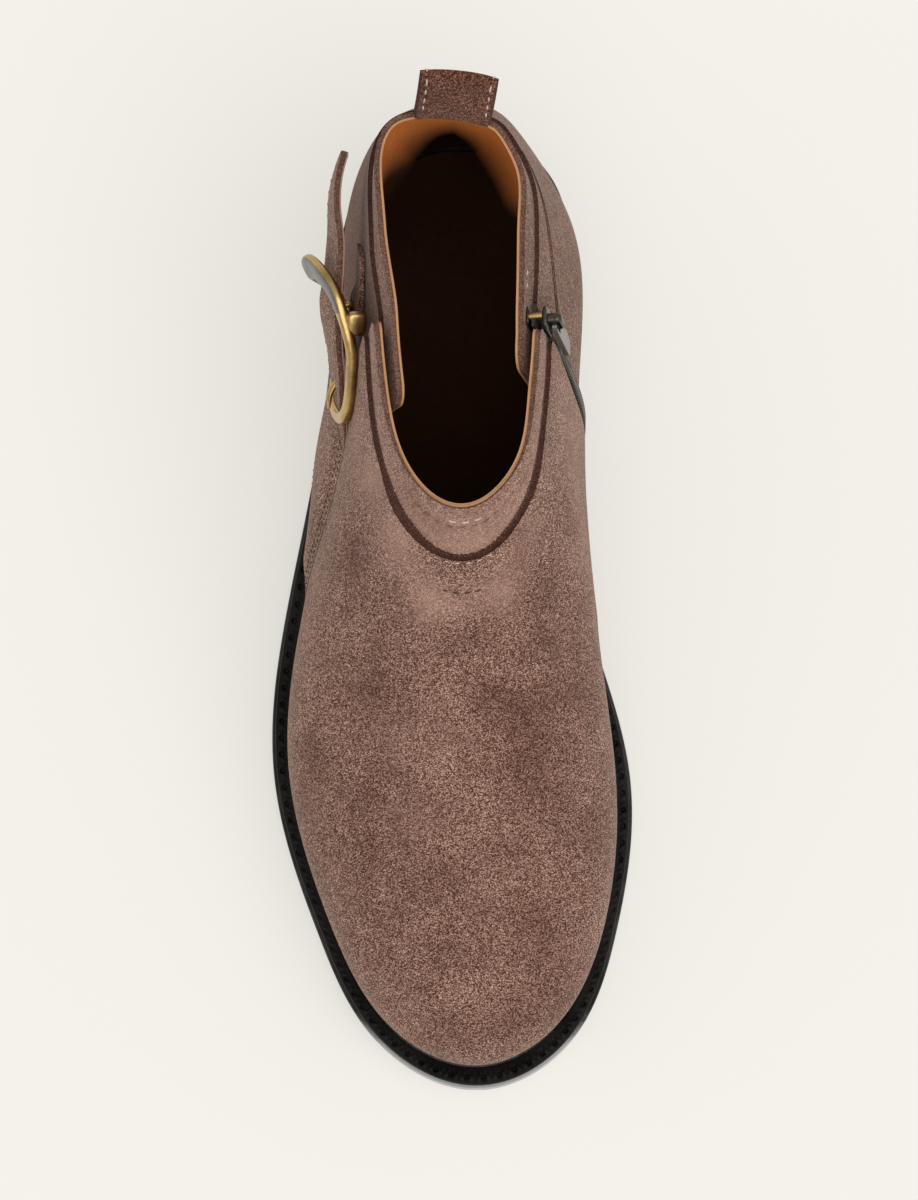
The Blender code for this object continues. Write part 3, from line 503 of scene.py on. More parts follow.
def nap_group() -> bpy.types.NodeTree:
    """Brushed nap: fibre tips, tufts and clouds move the colour between a deep warm tone and a pale one; the
    Shade input adds painted shade and painted highlights.

    Returns:
        The node group.
    """
    values = {"Shade": 0.0, "Speckle": 4.0, "Cloud": 1.0}
    w, given, leave = open_group("suede_nap", values, {"Base": (122, 95, 82)})
    fibre = w.maths("POWER", w.cells(FIBRE_SCALE, 0.45, 1.5).outputs["Color"], 1.7)
    tuft = w.noise(TUFT_SCALE, 2.0, 0.6, 0.6)
    calm = w.maths("MULTIPLY_ADD", given("Shade"), PALE_CALM, 1.0)
    calm = w.maths("MAXIMUM", w.maths("MINIMUM", calm, 1.0), LEAST_GAIN)
    gain = w.maths("MULTIPLY", given("Speckle"), calm)
    grey = w.swing(fibre, 0.35, gain)
    grey = w.swing(tuft, 0.5, w.maths("MULTIPLY", gain, TUFT_SHARE), grey)
    broad = w.swing(w.noise(CLOUD_SCALE, 2.0), 0.5, given("Cloud"))
    brush = w.maths("MULTIPLY", given("Cloud"), BRUSH_SHARE)
    broad = w.swing(w.noise(BRUSH_SCALE, 3.0), 0.5, brush, broad)
    grey = w.maths("MULTIPLY", w.maths("MAXIMUM", grey, DEEPEST_GREY), broad)
    # Shade above 0 is painted shade and darker nap, and darkens the tone; below 0 it is a painted highlight
    # and lifts it.
    grey = w.maths("MULTIPLY", grey, w.maths("SUBTRACT", 1.0, w.maths("MAXIMUM", given("Shade"), 0.0)))
    grey = w.maths("SUBTRACT", grey, w.maths("MINIMUM", given("Shade"), 0.0))
    deep = w.tint(given("Base"), 1.0, DEEP_FACTOR, "MULTIPLY")
    pale = w.tint(given("Base"), 1.0, PALE_FACTOR, "MULTIPLY")
    inputs = {0: w.maths("MULTIPLY", grey, 0.5), 6: deep, 7: pale}
    tone = w.add("ShaderNodeMix", inputs, data_type="RGBA", clamp_factor=False)
    leave(tone.outputs[2], tuft)
    return w.tree


def grain_group() -> bpy.types.NodeTree:
    """Hide grain: cells as fine pores and soft clouds of colour, blended by a share towards a painted shade
    colour.

    Returns:
        The node group.
    """
    colours = {"Base": (190, 120, 62), "Depth": (24, 13, 8)}
    w, given, leave = open_group("hide_grain", {"Deep": 0.0, "Pores": 900.0}, colours)
    cell = w.cells(given("Pores")).outputs["Distance"]
    cloud = w.noise(HIDE_CLOUD_SCALE, 4.0)
    grey = w.swing(cell, 0.5, 0.16, w.swing(cloud, 0.5, 0.5))
    colour = w.tint(w.tint(given("Base"), 1.0, grey, "MULTIPLY"), given("Deep"), given("Depth"))
    leave(colour, w.maths("MULTIPLY_ADD", cell, -1.0, cloud))
    return w.tree


def bloom_group() -> bpy.types.NodeTree:
    """Moulded rubber: fine orange peel with grey bloom and dust in broad patches, and a painted highlight of
    the same grey where the share is high.

    Returns:
        The node group.
    """
    colours = {"Base": (30, 26, 23), "Dust": (96, 90, 84)}
    w, given, leave = open_group("rubber_bloom", {"Bloom": 0.12}, colours)
    peel = w.noise(PEEL_SCALE, 2.0)
    patch = w.noise(DUST_SCALE, 4.0, 0.65)
    share = w.maths("MULTIPLY", smoothstep(w, patch, 0.36, 0.6), given("Bloom"))
    share = w.swing(peel, 0.5, given("Bloom"), share)
    # Painted highlight: a high share turns the rubber wholly to the light grey.
    share = w.maths("MAXIMUM", share, smoothstep(w, given("Bloom"), 0.3, 1.0))
    leave(w.tint(given("Base"), w.maths("MAXIMUM", share, 0.0), given("Dust")), peel)
    return w.tree


def patina_group() -> bpy.types.NodeTree:
    """Aged metal: darker tarnish in specks and broad patches, with the specks as its height.

    Returns:
        The node group.
    """
    colours = {"Base": (190, 160, 105), "Dark": (84, 62, 34)}
    w, given, leave = open_group("metal_patina", {"Tarnish": 0.5}, colours)
    speck = w.noise(SPECK_SCALE, 3.0, 0.7)
    patch = w.noise(TARNISH_SCALE, 4.0, 0.6)
    share = w.maths("ADD", smoothstep(w, patch, 0.38, 0.72), smoothstep(w, speck, 0.52, 0.8))
    share = w.maths("MULTIPLY", share, given("Tarnish"))
    leave(w.tint(given("Base"), w.maths("MINIMUM", share, 1.0), given("Dark")), speck)
    return w.tree


def smoothstep(w: Wiring, value: Value, low: float, high: float) -> Socket:
    """Value eased from 0 at a low limit to 1 at a high limit."""
    inputs = {"Value": value, "From Min": low, "From Max": high}
    return w.add("ShaderNodeMapRange", inputs, interpolation_type="SMOOTHSTEP").outputs[0]


class Effect(Enum):
    """Shared surface effects, each one node group."""

    NAP = "suede_nap"
    GRAIN = "hide_grain"
    BLOOM = "rubber_bloom"
    PATINA = "metal_patina"

    def tree(self) -> bpy.types.NodeTree:
        """The node group, made on first use."""
        makers = {"suede_nap": nap_group, "hide_grain": grain_group,
                  "rubber_bloom": bloom_group, "metal_patina": patina_group}
        return bpy.data.node_groups.get(self.value) or makers[self.value]()


@dataclass(frozen=True)
class Finish:
    """A surface finish: one effect with its own values, and plain shader values.

    Attributes:
        name: Name of the material.
        effect: Shared effect that gives colour and relief.
        colours: Colour inputs of the effect.
        values: Number inputs of the effect.
        shader: Plain values of the shader's own sockets.
        relief: Height of the bump in millimetres.
        marks: Effect inputs that follow a named value at the corners.
        tint: Sheen tint.
    """

    name: str
    effect: Effect
    colours: dict[str, Colour]
    values: dict[str, float] = field(default_factory=dict)
    shader: dict[str, float] = field(default_factory=dict)
    relief: float = 0.1
    marks: dict[str, str] = field(default_factory=dict)
    tint: Colour = (255, 255, 255)

    def material(self) -> bpy.types.Material:
        """Join the effect to the shader: its colour straight, its height through a bump.

        Returns:
            The material, made on first use.
        """
        known = bpy.data.materials.get(self.name)
        if known:
            return known
        made = bpy.data.materials.new(self.name)
        made.use_nodes = True
        tree = made.node_tree
        w = Wiring(tree)
        shader = tree.nodes["Principled BSDF"]
        group = w.add("ShaderNodeGroup", {}, node_tree=self.effect.tree())
        for label, colour in self.colours.items():
            group.inputs[label].default_value = linear(colour)
        for label, value in self.values.items():
            group.inputs[label].default_value = value
        for label, mark in self.marks.items():
            tree.links.new(w.mark(mark), group.inputs[label])
        for label, value in self.shader.items():
            shader.inputs[label].default_value = value
        shader.inputs["Sheen Tint"].default_value = linear(self.tint)
        bump = w.add("ShaderNodeBump", {"Height": group.outputs["Height"], "Strength": 1.0,
                                        "Distance": self.relief * MM})
        tree.links.new(group.outputs["Colour"], shader.inputs["Base Color"])
        tree.links.new(bump.outputs[0], shader.inputs["Normal"])
        return made


EDGE_SHADER = {"Roughness": 0.95, "Specular IOR Level": 0.1}
SUEDE_SHADER = {**EDGE_SHADER, "Sheen Weight": 0.16, "Sheen Roughness": 0.45}
HIDE_SHADER = {"Roughness": 0.6, "Specular IOR Level": 0.12}


class Palette(Enum):
    """The finishes of the bootie."""

    SUEDE = Finish("taupe_suede", Effect.NAP, {"Base": (122, 92, 79)}, {"Speckle": 5.7, "Cloud": 0.9},
                   SUEDE_SHADER, 0.16, {"Shade": "shade"}, (255, 236, 222))
    LOOP = Finish("loop_nap", Effect.NAP, {"Base": (95, 61, 48)}, {"Speckle": 5.0, "Cloud": 1.0},
                  SUEDE_SHADER, 0.3, {}, (255, 232, 215))
    CUT_EDGE = Finish("suede_cut_edge", Effect.NAP, {"Base": (80, 54, 46)}, {"Speckle": 1.8, "Cloud": 0.6},
                      EDGE_SHADER, 0.3)
    BAND_EDGE = Finish("band_cut_edge", Effect.NAP, {"Base": (108, 80, 68)},
                       {"Speckle": 2.2, "Cloud": 0.6}, EDGE_SHADER, 0.2)
    # The lining's second colour is painted shade for deep in the foot.
    LINING = Finish("tan_lining", Effect.GRAIN, {"Base": (198, 116, 57), "Depth": (50, 29, 17)},
                    {"Pores": 900.0}, HIDE_SHADER, 0.08, {"Deep": "deep"})
    LINING_EDGE = Finish("lining_edge", Effect.GRAIN, {"Base": (188, 142, 104)}, {"Pores": 1400.0},
                         EDGE_SHADER, 0.1)
    # Dark sock colour, darkened further as painted shade of the boot's deep inside.
    INSOLE = Finish("dark_insole", Effect.GRAIN, {"Base": (58, 36, 22)}, {"Pores": 500.0},
                    {"Roughness": 1.0, "Specular IOR Level": 0.0}, 0.1)
    WELT = Finish("ribbed_rubber", Effect.BLOOM, {"Base": (12, 11, 9)}, {"Bloom": 0.06},
                  {"Roughness": 0.5, "Specular IOR Level": 0.12}, 0.05)
    # The light grey is both dust and a painted highlight on the toe edge.
    SOLE = Finish("bloomed_rubber", Effect.BLOOM, {"Base": (24, 22, 20), "Dust": (190, 186, 183)}, {},
                  {"Roughness": 0.5, "Specular IOR Level": 0.25}, 0.06, {"Bloom": "bloom"})
    BRASS = Finish("aged_brass", Effect.PATINA, {"Base": (196, 164, 108), "Dark": (96, 72, 38)},
                   {"Tarnish": 0.42}, {"Metallic": 1.0, "Roughness": 0.3}, 0.03)
    ZIP_METAL = Finish("zip_gunmetal", Effect.PATINA, {"Base": (88, 83, 76), "Dark": (36, 32, 28)},
                       {"Tarnish": 0.5}, {"Metallic": 1.0, "Roughness": 0.36}, 0.03)
    STEEL = Finish("zip_steel", Effect.PATINA, {"Base": (128, 126, 121), "Dark": (52, 48, 44)},
                   {"Tarnish": 0.4}, {"Metallic": 1.0, "Roughness": 0.34}, 0.03)
    TAPE = Finish("zip_tape", Effect.NAP, {"Base": (62, 56, 51)}, {"Speckle": 1.0, "Cloud": 0.3},
                  EDGE_SHADER, 0.15)
    THREAD = Finish("pale_thread", Effect.NAP, {"Base": (206, 186, 170)}, {"Speckle": 0.6, "Cloud": 0.4},
                    {"Roughness": 0.75}, 0.1)
    SUEDE_THREAD = Finish("taupe_thread", Effect.NAP, {"Base": (146, 118, 104)},
                          {"Speckle": 1.6, "Cloud": 2.0}, {"Roughness": 0.85}, 0.1)
    STRAP_EDGE = Finish("backing_edge", Effect.GRAIN, {"Base": (176, 138, 118)}, {"Pores": 1400.0},
                        EDGE_SHADER, 0.1)
    BROWN_THREAD = Finish("brown_thread", Effect.NAP, {"Base": (92, 64, 53)},
                          {"Speckle": 1.0, "Cloud": 0.4}, EDGE_SHADER, 0.1)

    def material(self) -> bpy.types.Material:
        """The material of the finish."""
        return self.value.material()


@dataclass(frozen=True)
class Hoop:
    """One closed control hoop of the last.

    Attributes:
        toe_x, toe_y, toe_z: Middle of its toe end.
        heel_x, heel_y, heel_z: Middle of its heel end.
        on_seat: 1 if the top of the outsole is added to its height.
        dip: How far its sides drop.
        skew: How far it turns in plan.
    """

    toe_x: float
    toe_y: float
    toe_z: float
    heel_x: float
    heel_y: float
    heel_z: float
    on_seat: float = 0.0
    dip: float = 0.0
    skew: float = 0.0


@dataclass(frozen=True)
class Station:
    """Half-width factors of the five hoops at one angle, and how far the sole's edge stands out."""

    feather: float
    swell: float
    instep: float
    ankle: float
    collar: float
    sole_edge: float


@dataclass(frozen=True)
class Lap:
    """Rear edge of the vamp at a height on each side, and how far the quarter runs on under it."""

    z: float
    lateral_y: float
    medial_y: float
    lateral_lap: float
    medial_lap: float


@dataclass
class Last:
    """The form that the bootie is shaped on, in the same sizes as the solids.

    A point is given by an angle, from 0 at the toe over the lateral side to pi at the heel, and a level,
    from 0 at the feather line to 1 at the collar.
    """

    gap: float = 0.3
    quarter_depth: float = 2.0
    outsole_thick: float = 6.5
    half_length: float = 130.0
    toe_spring: float = 9.0
    toe_break_y: float = -69.5
    ball_end_y: float = -15.5
    breast_y: float = 61.0
    arch_rise: float = 17.0
    heel_pitch: float = 0.045
    slit: float = 2.3
    slit_reach: float = 22.0
    slit_from: float = 0.66
    slit_over: float = 0.26
    hoops: tuple[Hoop, ...] = (
        Hoop(6.5, -122.8, 0.3, 2.0, 128.8, 0.3, on_seat=1.0),
        Hoop(6.0, -134.5, 42.0, 2.0, 133.5, 22.0, on_seat=1.0, dip=-8.0),
        Hoop(5.0, -91.5, 46.0, 2.0, 134.0, 72.0),
        Hoop(3.0, -29.5, 78.0, 1.5, 117.5, 105.0, skew=0.05),
        Hoop(2.7, 9.0, 122.0, 1.2, 111.5, 141.0, dip=2.0, skew=0.11),
    )
    # One station every 22.5 degrees, from the toe over the lateral side to the heel and back.
    stations: tuple[Station, ...] = (
        Station(52.0, 62.0, 45.0, 30.0, 26.0, 7.3),
        Station(54.5, 63.5, 45.0, 30.0, 25.8, 6.4),
        Station(50.8, 61.0, 43.5, 29.5, 25.0, 5.9),
        Station(49.8, 60.0, 39.5, 29.0, 23.0, 6.8),
        Station(42.3, 46.5, 30.4, 27.5, 22.7, 5.7),
        Station(37.5, 39.8, 31.0, 29.3, 25.0, 3.0),
        Station(45.5, 52.0, 40.5, 35.5, 33.4, 0.9),
        Station(59.0, 64.0, 55.5, 47.5, 46.0, 0.9),
        Station(63.5, 67.0, 61.5, 55.0, 57.0, 1.0),
        Station(58.6, 50.5, 42.5, 40.0, 38.0, 0.4),
        Station(41.6, 53.0, 42.8, 33.7, 28.8, 0.2),
        Station(27.0, 42.5, 35.5, 29.8, 22.0, 2.0),
        Station(27.8, 37.5, 32.4, 28.7, 21.9, 3.4),
        Station(40.3, 48.0, 33.0, 28.5, 22.3, 6.0),
        Station(46.6, 60.5, 36.0, 29.5, 25.0, 5.9),
        Station(52.6, 64.0, 43.0, 30.0, 25.6, 6.8),
    )
    laps: tuple[Lap, ...] = (
        Lap(5.0, 34.5, 26.5, 10.0, 8.0),
        Lap(75.0, 46.5, 44.5, 12.0, 8.0),
        Lap(110.0, 54.5, 53.5, 18.0, 10.0),
        Lap(135.0, 59.0, 57.0, 24.0, 11.0),
    )
    weights: dict[str, Array] = field(default_factory=dict)

    def __post_init__(self) -> None:
        """Solve each station column once for the weights of its closed cubic spline."""
        step = np.eye(len(self.stations))
        system = (4.0 * step + np.roll(step, 1, 0) + np.roll(step, -1, 0)) / 6.0
        for name in Station.__dataclass_fields__:
            column = np.array([getattr(row, name) for row in self.stations])
            self.weights[name] = np.linalg.solve(system, column)

    def half_width(self, name: str, angle: Array) -> Array:
        """Closed cubic spline through one column of the stations.

        Args:
            name: Column.
            angle: Angles round the hoop.

        Returns:
            Half-width factors.
        """
        weights = self.weights[name]
        place = np.asarray(angle) / TURN * len(weights)
        cell = np.floor(place).astype(int)
        f = place - cell
        parts = ((1 - f) ** 3, 3 * f ** 3 - 6 * f ** 2 + 4, -3 * f ** 3 + 3 * f ** 2 + 3 * f + 1, f ** 3)
        return sum(part * weights[(cell + k - 1) % len(weights)] for k, part in enumerate(parts)) / 6.0

    def sole_bottom(self, y: Array) -> Array:
        """Underside of the outsole: flat ball, squared toe spring, eased arch and the heel's pitch.

        Args:
            y: Places along the foot.

        Returns:
            Heights over the floor.
        """
        toe = np.clip((self.toe_break_y - y) / (self.toe_break_y + self.half_length), 0.0, 1.2) ** 2
        arch = smooth((y - self.ball_end_y) / (self.breast_y - self.ball_end_y))
        heel = np.clip(y - self.breast_y, 0.0, None)
        return self.toe_spring * toe + self.arch_rise * arch + self.heel_pitch * heel

    def seat(self, y: Array) -> Array:
        """Top of the outsole."""
        return self.sole_bottom(y) + self.outsole_thick

    def hoop(self, number: int, angle: Array) -> Array:
        """Points of a control hoop: its ends blend by (1 - cos) / 2 and its width goes by the sine.

        Args:
            number: Hoop, from 0 at the feather line.
            angle: Angles round it.

        Returns:
            Points in the shape of the angles.
        """
        row = self.hoops[number]
        along = (1.0 - np.cos(angle)) / 2.0
        full = self.half_width(list(Station.__dataclass_fields__)[number], angle)
        x = mix(row.toe_x, row.heel_x, along) - np.sin(angle) * full
        y = mix(row.toe_y, row.heel_y, along) + row.skew * along * np.sin(angle) * full
        z = row.on_seat * self.seat(y) + mix(row.toe_z, row.heel_z, along) - row.dip * np.sin(angle) ** 2
        return np.stack([x, y, z], axis=-1)

    def surface(self, angle: Array, level: Array) -> Array:
        """Outer surface of the vamp: Bezier curves up the wall with the hoops as control points.

        Args:
            angle: Angles round the foot.
            level: Levels up the wall.

        Returns:
            Points in their common shape.
        """
        angle, level = np.broadcast_arrays(np.asarray(angle, float), np.asarray(level, float))
        top = len(self.hoops) - 1
        weights = [math.comb(top, k) * level ** k * (1.0 - level) ** (top - k) for k in range(top + 1)]
        return sum(weight[..., None] * self.hoop(k, angle) for k, weight in enumerate(weights))

    def normal(self, angle: Array, level: Array) -> Array:
        """Outward direction: a step up the wall crossed with a step round it."""
        up = self.surface(angle, level + STEP) - self.surface(angle, level - STEP)
        return unit(np.cross(up, self.surface(angle + STEP, level) - self.surface(angle - STEP, level)))

    def inset(self, angle: Array, level: Array, depth: Array) -> Array:
        """The surface moved inwards by a depth."""
        depth = np.broadcast_to(np.asarray(depth, float), np.broadcast(angle, level).shape)
        return self.surface(angle, level) - depth[..., None] * self.normal(angle, level)

    def lap(self, name: str, z: Array) -> Array:
        """One column of the laps at a height."""
        return np.interp(z, [row.z for row in self.laps], [getattr(row, name) for row in self.laps])

    def edge_y(self, angle: Array, z: Array) -> Array:
        """Rear edge of the vamp on the side that an angle is on."""
        return np.where(np.sin(angle) > 0.0, self.lap("lateral_y", z), self.lap("medial_y", z))

    def edge_angle(self, level: Array, side: Side, under: float = 0.0) -> Array:
        """Angle at which the wall meets the vamp's rear edge, or the quarter's front edge under it.

        Args:
            level: Levels of the wall.
            side: Side of the foot.
            under: Share of the quarter's lap by which the edge is moved to the toe.

        Returns:
            Angles from 0 to pi.
        """
        name = side.name.lower()
        levels = np.linspace(0.0, 1.02, 52)
        angles = np.linspace(0.05, math.pi - 0.05, 181)
        points = self.surface(side.value * angles[None, :], levels[:, None])
        z = points[..., 2]
        past = points[..., 1] - self.lap(name + "_y", z) + under * self.lap(name + "_lap", z)
        after = np.argmax(past > 0.0, axis=1)
        row = np.arange(len(levels))
        low, high = past[row, after - 1], past[row, after]
        return np.interp(level, levels, mix(angles[after - 1], angles[after], low / (low - high)))

    def slit_depth(self, angle: Array, level: Array) -> Array:
        """How far the quarter draws in, eased up to the collar and towards the vamp's rear corners.

        Args:
            angle: Angles round the foot.
            level: Levels up the wall.

        Returns:
            Depths.
        """
        points = self.surface(angle, level)
        past = points[..., 1] - self.edge_y(angle, points[..., 2])
        near = smooth((self.slit_reach - past) / self.slit_reach)
        return self.slit * near * smooth((level - self.slit_from) / self.slit_over)

    def on_wall(self, y: Array, z: Array, side: Side) -> tuple[Array, Array]:
        """Angle and level of the wall's point at (y, z) on one side, by Newton steps from a coarse grid.

        Args:
            y: Places along the foot.
            z: Heights.
            side: Side of the foot.

        Returns:
            Angles and levels in the shape of y and z.
        """
        y, z = np.broadcast_arrays(np.asarray(y, float), np.asarray(z, float))
        angles, levels = np.meshgrid(side.value * np.linspace(0.1, 3.04, 60), np.linspace(0.0, 1.0, 40))
        points = self.surface(angles, levels).reshape(-1, 3)
        miss = (points[:, 1] - y.reshape(-1, 1)) ** 2 + (points[:, 2] - z.reshape(-1, 1)) ** 2
        nearest = miss.argmin(axis=1)
        angle, level = angles.ravel()[nearest], levels.ravel()[nearest]
        step = 1e-4
        for _ in range(6):
            here = self.surface(angle, level)
            by_angle = (self.surface(angle + step, level) - here) / step
            by_level = (self.surface(angle, level + step) - here) / step
            off_y, off_z = y.ravel() - here[:, 1], z.ravel() - here[:, 2]
            det = by_angle[:, 1] * by_level[:, 2] - by_angle[:, 2] * by_level[:, 1]
            angle = angle + (off_y * by_level[:, 2] - off_z * by_level[:, 1]) / det
            level = level + (off_z * by_angle[:, 1] - off_y * by_angle[:, 2]) / det
        return angle.reshape(y.shape), level.reshape(y.shape)

    def wall(self, y: Array, z: Array, side: Side, lift: Array) -> Array:
        """Points above the wall of one side."""
        angle, level = self.on_wall(y, z, side)
        return self.inset(angle, level, -np.asarray(lift, float))

    def sole_edge(self) -> tuple[Array, Array]:
        """Edge of the sole in plan: the feather line moved out along its own normal.

        Returns:
            Angles round the sole and the points of its edge.
        """
        angle = np.linspace(0.0, TURN, 1441)
        feather = self.hoop(0, angle)[:, :2]
        tangent = np.gradient(feather, axis=0)
        tangent[0] = tangent[-1] = feather[1] - feather[-2]
        out = unit(np.stack([tangent[:, 1], -tangent[:, 0]], axis=1))
        out *= np.sign((out * (feather - feather.mean(axis=0))).sum(axis=1).mean())
        return angle, feather + out * self.half_width("sole_edge", angle)[:, None]


@dataclass(frozen=True)
class Stitching:
    """Rows of short stitches that dip into the leather at their ends."""

    length: float = 2.5
    pitch: float = 3.3
    radius: float = 0.34
    dip: float = 0.45

    def row(self, path: Array, normals: Array, sink: float = 0.0) -> Form:
        """Stitches along a line of points.

        Args:
            path: Line on the leather's surface.
            normals: Outward directions along it.
            sink: How deep the row lies in the nap.

        Returns:
            All stitches of the row as one form.
        """
        total = reach(path)[-1]
        place = (np.arange(int(total / self.pitch)) + 0.5) * self.pitch
        centre = sample(path, place)
        way = unit(sample(path, place + 0.3) - sample(path, place - 0.3))
        turned = np.interp(place, reach(path), np.arange(len(path)))
        out = unit(normals[np.clip(np.rint(turned).astype(int), 0, len(path) - 1)])
        across = unit(np.cross(out, way))
        rise = np.cross(way, across)
        t = np.array([-1.0, -0.72, 0.0, 0.72, 1.0])
        thick = np.array([0.4, 0.9, 1.0, 0.9, 0.4]) * self.radius
        spin = np.linspace(0.0, TURN, 6, endpoint=False)
        a = np.broadcast_to(t[:, None] * self.length / 2.0, (5, 6))
        b = thick[:, None] * np.cos(spin)
        c = thick[:, None] * np.sin(spin) - self.dip * t[:, None] ** 2 + self.radius * 0.5 - sink
        shape = loft(np.stack([a, b, c], axis=-1))
        frames = np.stack([way, across, rise], axis=1)
        return copies(shape, centre, frames)


@dataclass(frozen=True)
class Stroke:
    """A soft stroke over the vamp between two places in plan.

    Attributes:
        x: Start across the boot.
        y: Start along it.
        end_x: End across.
        end_y: End along.
        width: Distance at which it fades.
        amount: Depth of a crease, or darkening of the nap by darker brushed patches and painted shade; a
            ridge or a painted highlight is negative.
    """

    x: float
    y: float
    end_x: float
    end_y: float
    width: float
    amount: float


@dataclass
class Upper:
    """Vamp, back quarter, their collar bands and the lining."""

    last: Last
    skin: float = 1.9
    band_start: float = 0.935
    quarter_band: float = 0.912
    band_thick: float = 0.65
    band_rise: float = 0.7
    valley: float = 0.0045
    vamp_pad: float = 2.4
    back_pad: float = 4.0
    corner_pad: float = 4.2
    lining_thick: float = 0.6
    corner: float = 4.0
    back_corner: float = 6.0
    level_high: float = 150.0
    groove_deep: float = 0.28
    groove_below: float = 7.5
    valley_shade: float = 0.18
    valley_dark: float = 0.72
    quarter_shade: float = 0.3
    lateral_shade: float = 0.32
    band_pale: float = -0.36
    front_pale: float = -0.56
    lip_pale: float = -0.3
    top_shade: float = 0.3
    back_band_shade: float = 0.16
    row_below: float = 0.013
    row_sink: float = 0.35
    collar_row: float = 0.974
    rows: int = 130
    columns: int = 340
    stitch: Stitching = Stitching(length=2.2, radius=0.26)
    hem: Stitching = Stitching(length=1.5, pitch=2.9, radius=0.26, dip=0.25)
    seam_angles: tuple[float, ...] = (-2.55, -2.42, -2.29, -2.1, -1.99, -1.86)
    seam_levels: tuple[float, ...] = (0.915, 0.89, 0.856, 0.808, 0.772, 0.73)
    creases: tuple[Stroke, ...] = (
        Stroke(-20.0, 20.0, -30.0, -8.0, 6.0, 0.9),
        Stroke(-19.0, 20.0, -9.0, -8.0, 5.0, -0.6),
        Stroke(23.0, 6.0, 31.0, -20.0, 6.0, 0.8),
        Stroke(30.0, 18.0, 35.0, -6.0, 5.0, -0.5),
        Stroke(3.0, -14.0, 8.0, -34.0, 7.0, 0.7),
        Stroke(-32.0, -36.0, -8.0, -45.0, 4.0, 0.35),
        Stroke(36.0, -34.0, 12.0, -46.0, 4.0, 0.35),
        Stroke(-6.0, -76.0, 2.0, -98.0, 9.0, 0.5),
    )
    # Darker brushed patches of nap and painted shade (positive), and painted highlights along lit ridges and
    # edges (negative).
    rubs: tuple[Stroke, ...] = (
        Stroke(0.0, -20.5, 8.0, -19.5, 5.0, 0.26),
        Stroke(24.5, -10.0, 25.0, -21.0, 4.5, 0.26),
        Stroke(9.0, -33.5, 34.0, -30.0, 5.0, 0.3),
        Stroke(21.0, -42.0, 22.0, -54.0, 7.0, 0.34),
        Stroke(-20.5, -28.0, -20.5, -30.0, 4.5, 0.32),
        Stroke(-25.0, 6.0, -26.0, -1.5, 4.0, 0.34),
        Stroke(-25.0, -58.0, -21.0, -70.0, 4.5, 0.24),
        Stroke(-3.5, -79.0, -1.5, -76.0, 6.0, 0.34),
        Stroke(10.0, -70.5, 18.5, -70.0, 5.0, 0.28),
        Stroke(-2.5, -93.0, -2.5, -96.0, 5.0, 0.22),
        Stroke(-35.5, -42.0, -34.5, -49.0, 3.0, 0.2),
        Stroke(14.0, -115.0, 28.0, -108.0, 6.0, 0.3),
        Stroke(24.0, -88.0, 27.0, -98.0, 6.0, 0.24),
        Stroke(36.5, -61.0, 36.0, -67.0, 4.0, 0.26),
        Stroke(29.5, 16.0, 27.0, -3.0, 4.0, 0.2),
        Stroke(4.0, -4.0, 4.0, -5.0, 5.0, 0.1),
        Stroke(-27.5, 38.0, -20.0, 20.0, 4.0, -0.5),
        Stroke(-20.0, 20.0, -13.0, 4.5, 5.0, -0.5),
        Stroke(-13.0, 4.5, -6.5, -10.0, 5.5, -0.52),
        Stroke(21.0, 8.0, 14.0, -6.5, 5.0, -0.52),
        Stroke(11.0, -9.5, -3.5, -11.5, 5.5, -0.55),
        Stroke(-13.0, -44.0, -3.0, -47.0, 6.0, -0.18),
        Stroke(-12.0, -61.0, -8.0, -63.0, 6.0, -0.22),
        Stroke(-35.5, -55.0, -35.5, -57.0, 4.0, -0.2),
        Stroke(-20.0, -104.0, -10.5, -111.0, 5.0, -0.16),
        Stroke(-30.5, -76.5, -28.0, -84.5, 4.0, -0.15),
        Stroke(33.5, 45.0, 36.0, 6.0, 6.0, -0.5),
        Stroke(-3.0, -31.0, -8.0, -38.0, 5.0, -0.12),
    )

    @staticmethod
    def strokes(points: Array, rows: tuple[Stroke, ...]) -> Array:
        """Sum of strokes: each is a bell across its line that fades past its ends.

        Args:
            points: Points whose places in plan count.
            rows: The strokes.

        Returns:
            Sum of their amounts at each point.
        """
        plan = points[..., :2]
        total = np.zeros(plan.shape[:-1])
        for row in rows:
            start = np.array([row.x, row.y])
            run = np.array([row.end_x, row.end_y]) - start
            share = np.clip(((plan - start) @ run) / max(float(run @ run), 1e-6), 0.0, 1.0)
            apart = np.linalg.norm(plan - start - share[..., None] * run, axis=-1)
            total += row.amount * np.exp(-(apart / row.width) ** 2)
        return total

    def vamp_angle(self, level: Array, share: Array) -> Array:
        """Angle across the vamp, from its medial rear edge round the toe to its lateral rear edge."""
        edge = self.last.edge_angle
        return mix(-edge(level, Side.MEDIAL), edge(level, Side.LATERAL), share)

    def quarter_angle(self, level: Array, share: Array) -> Array:
        """Angle across the quarter, from under the vamp's lateral edge round the heel to its medial one."""
        edge = self.last.edge_angle
        return mix(edge(level, Side.LATERAL, 1.0), TURN - edge(level, Side.MEDIAL, 1.0), share)

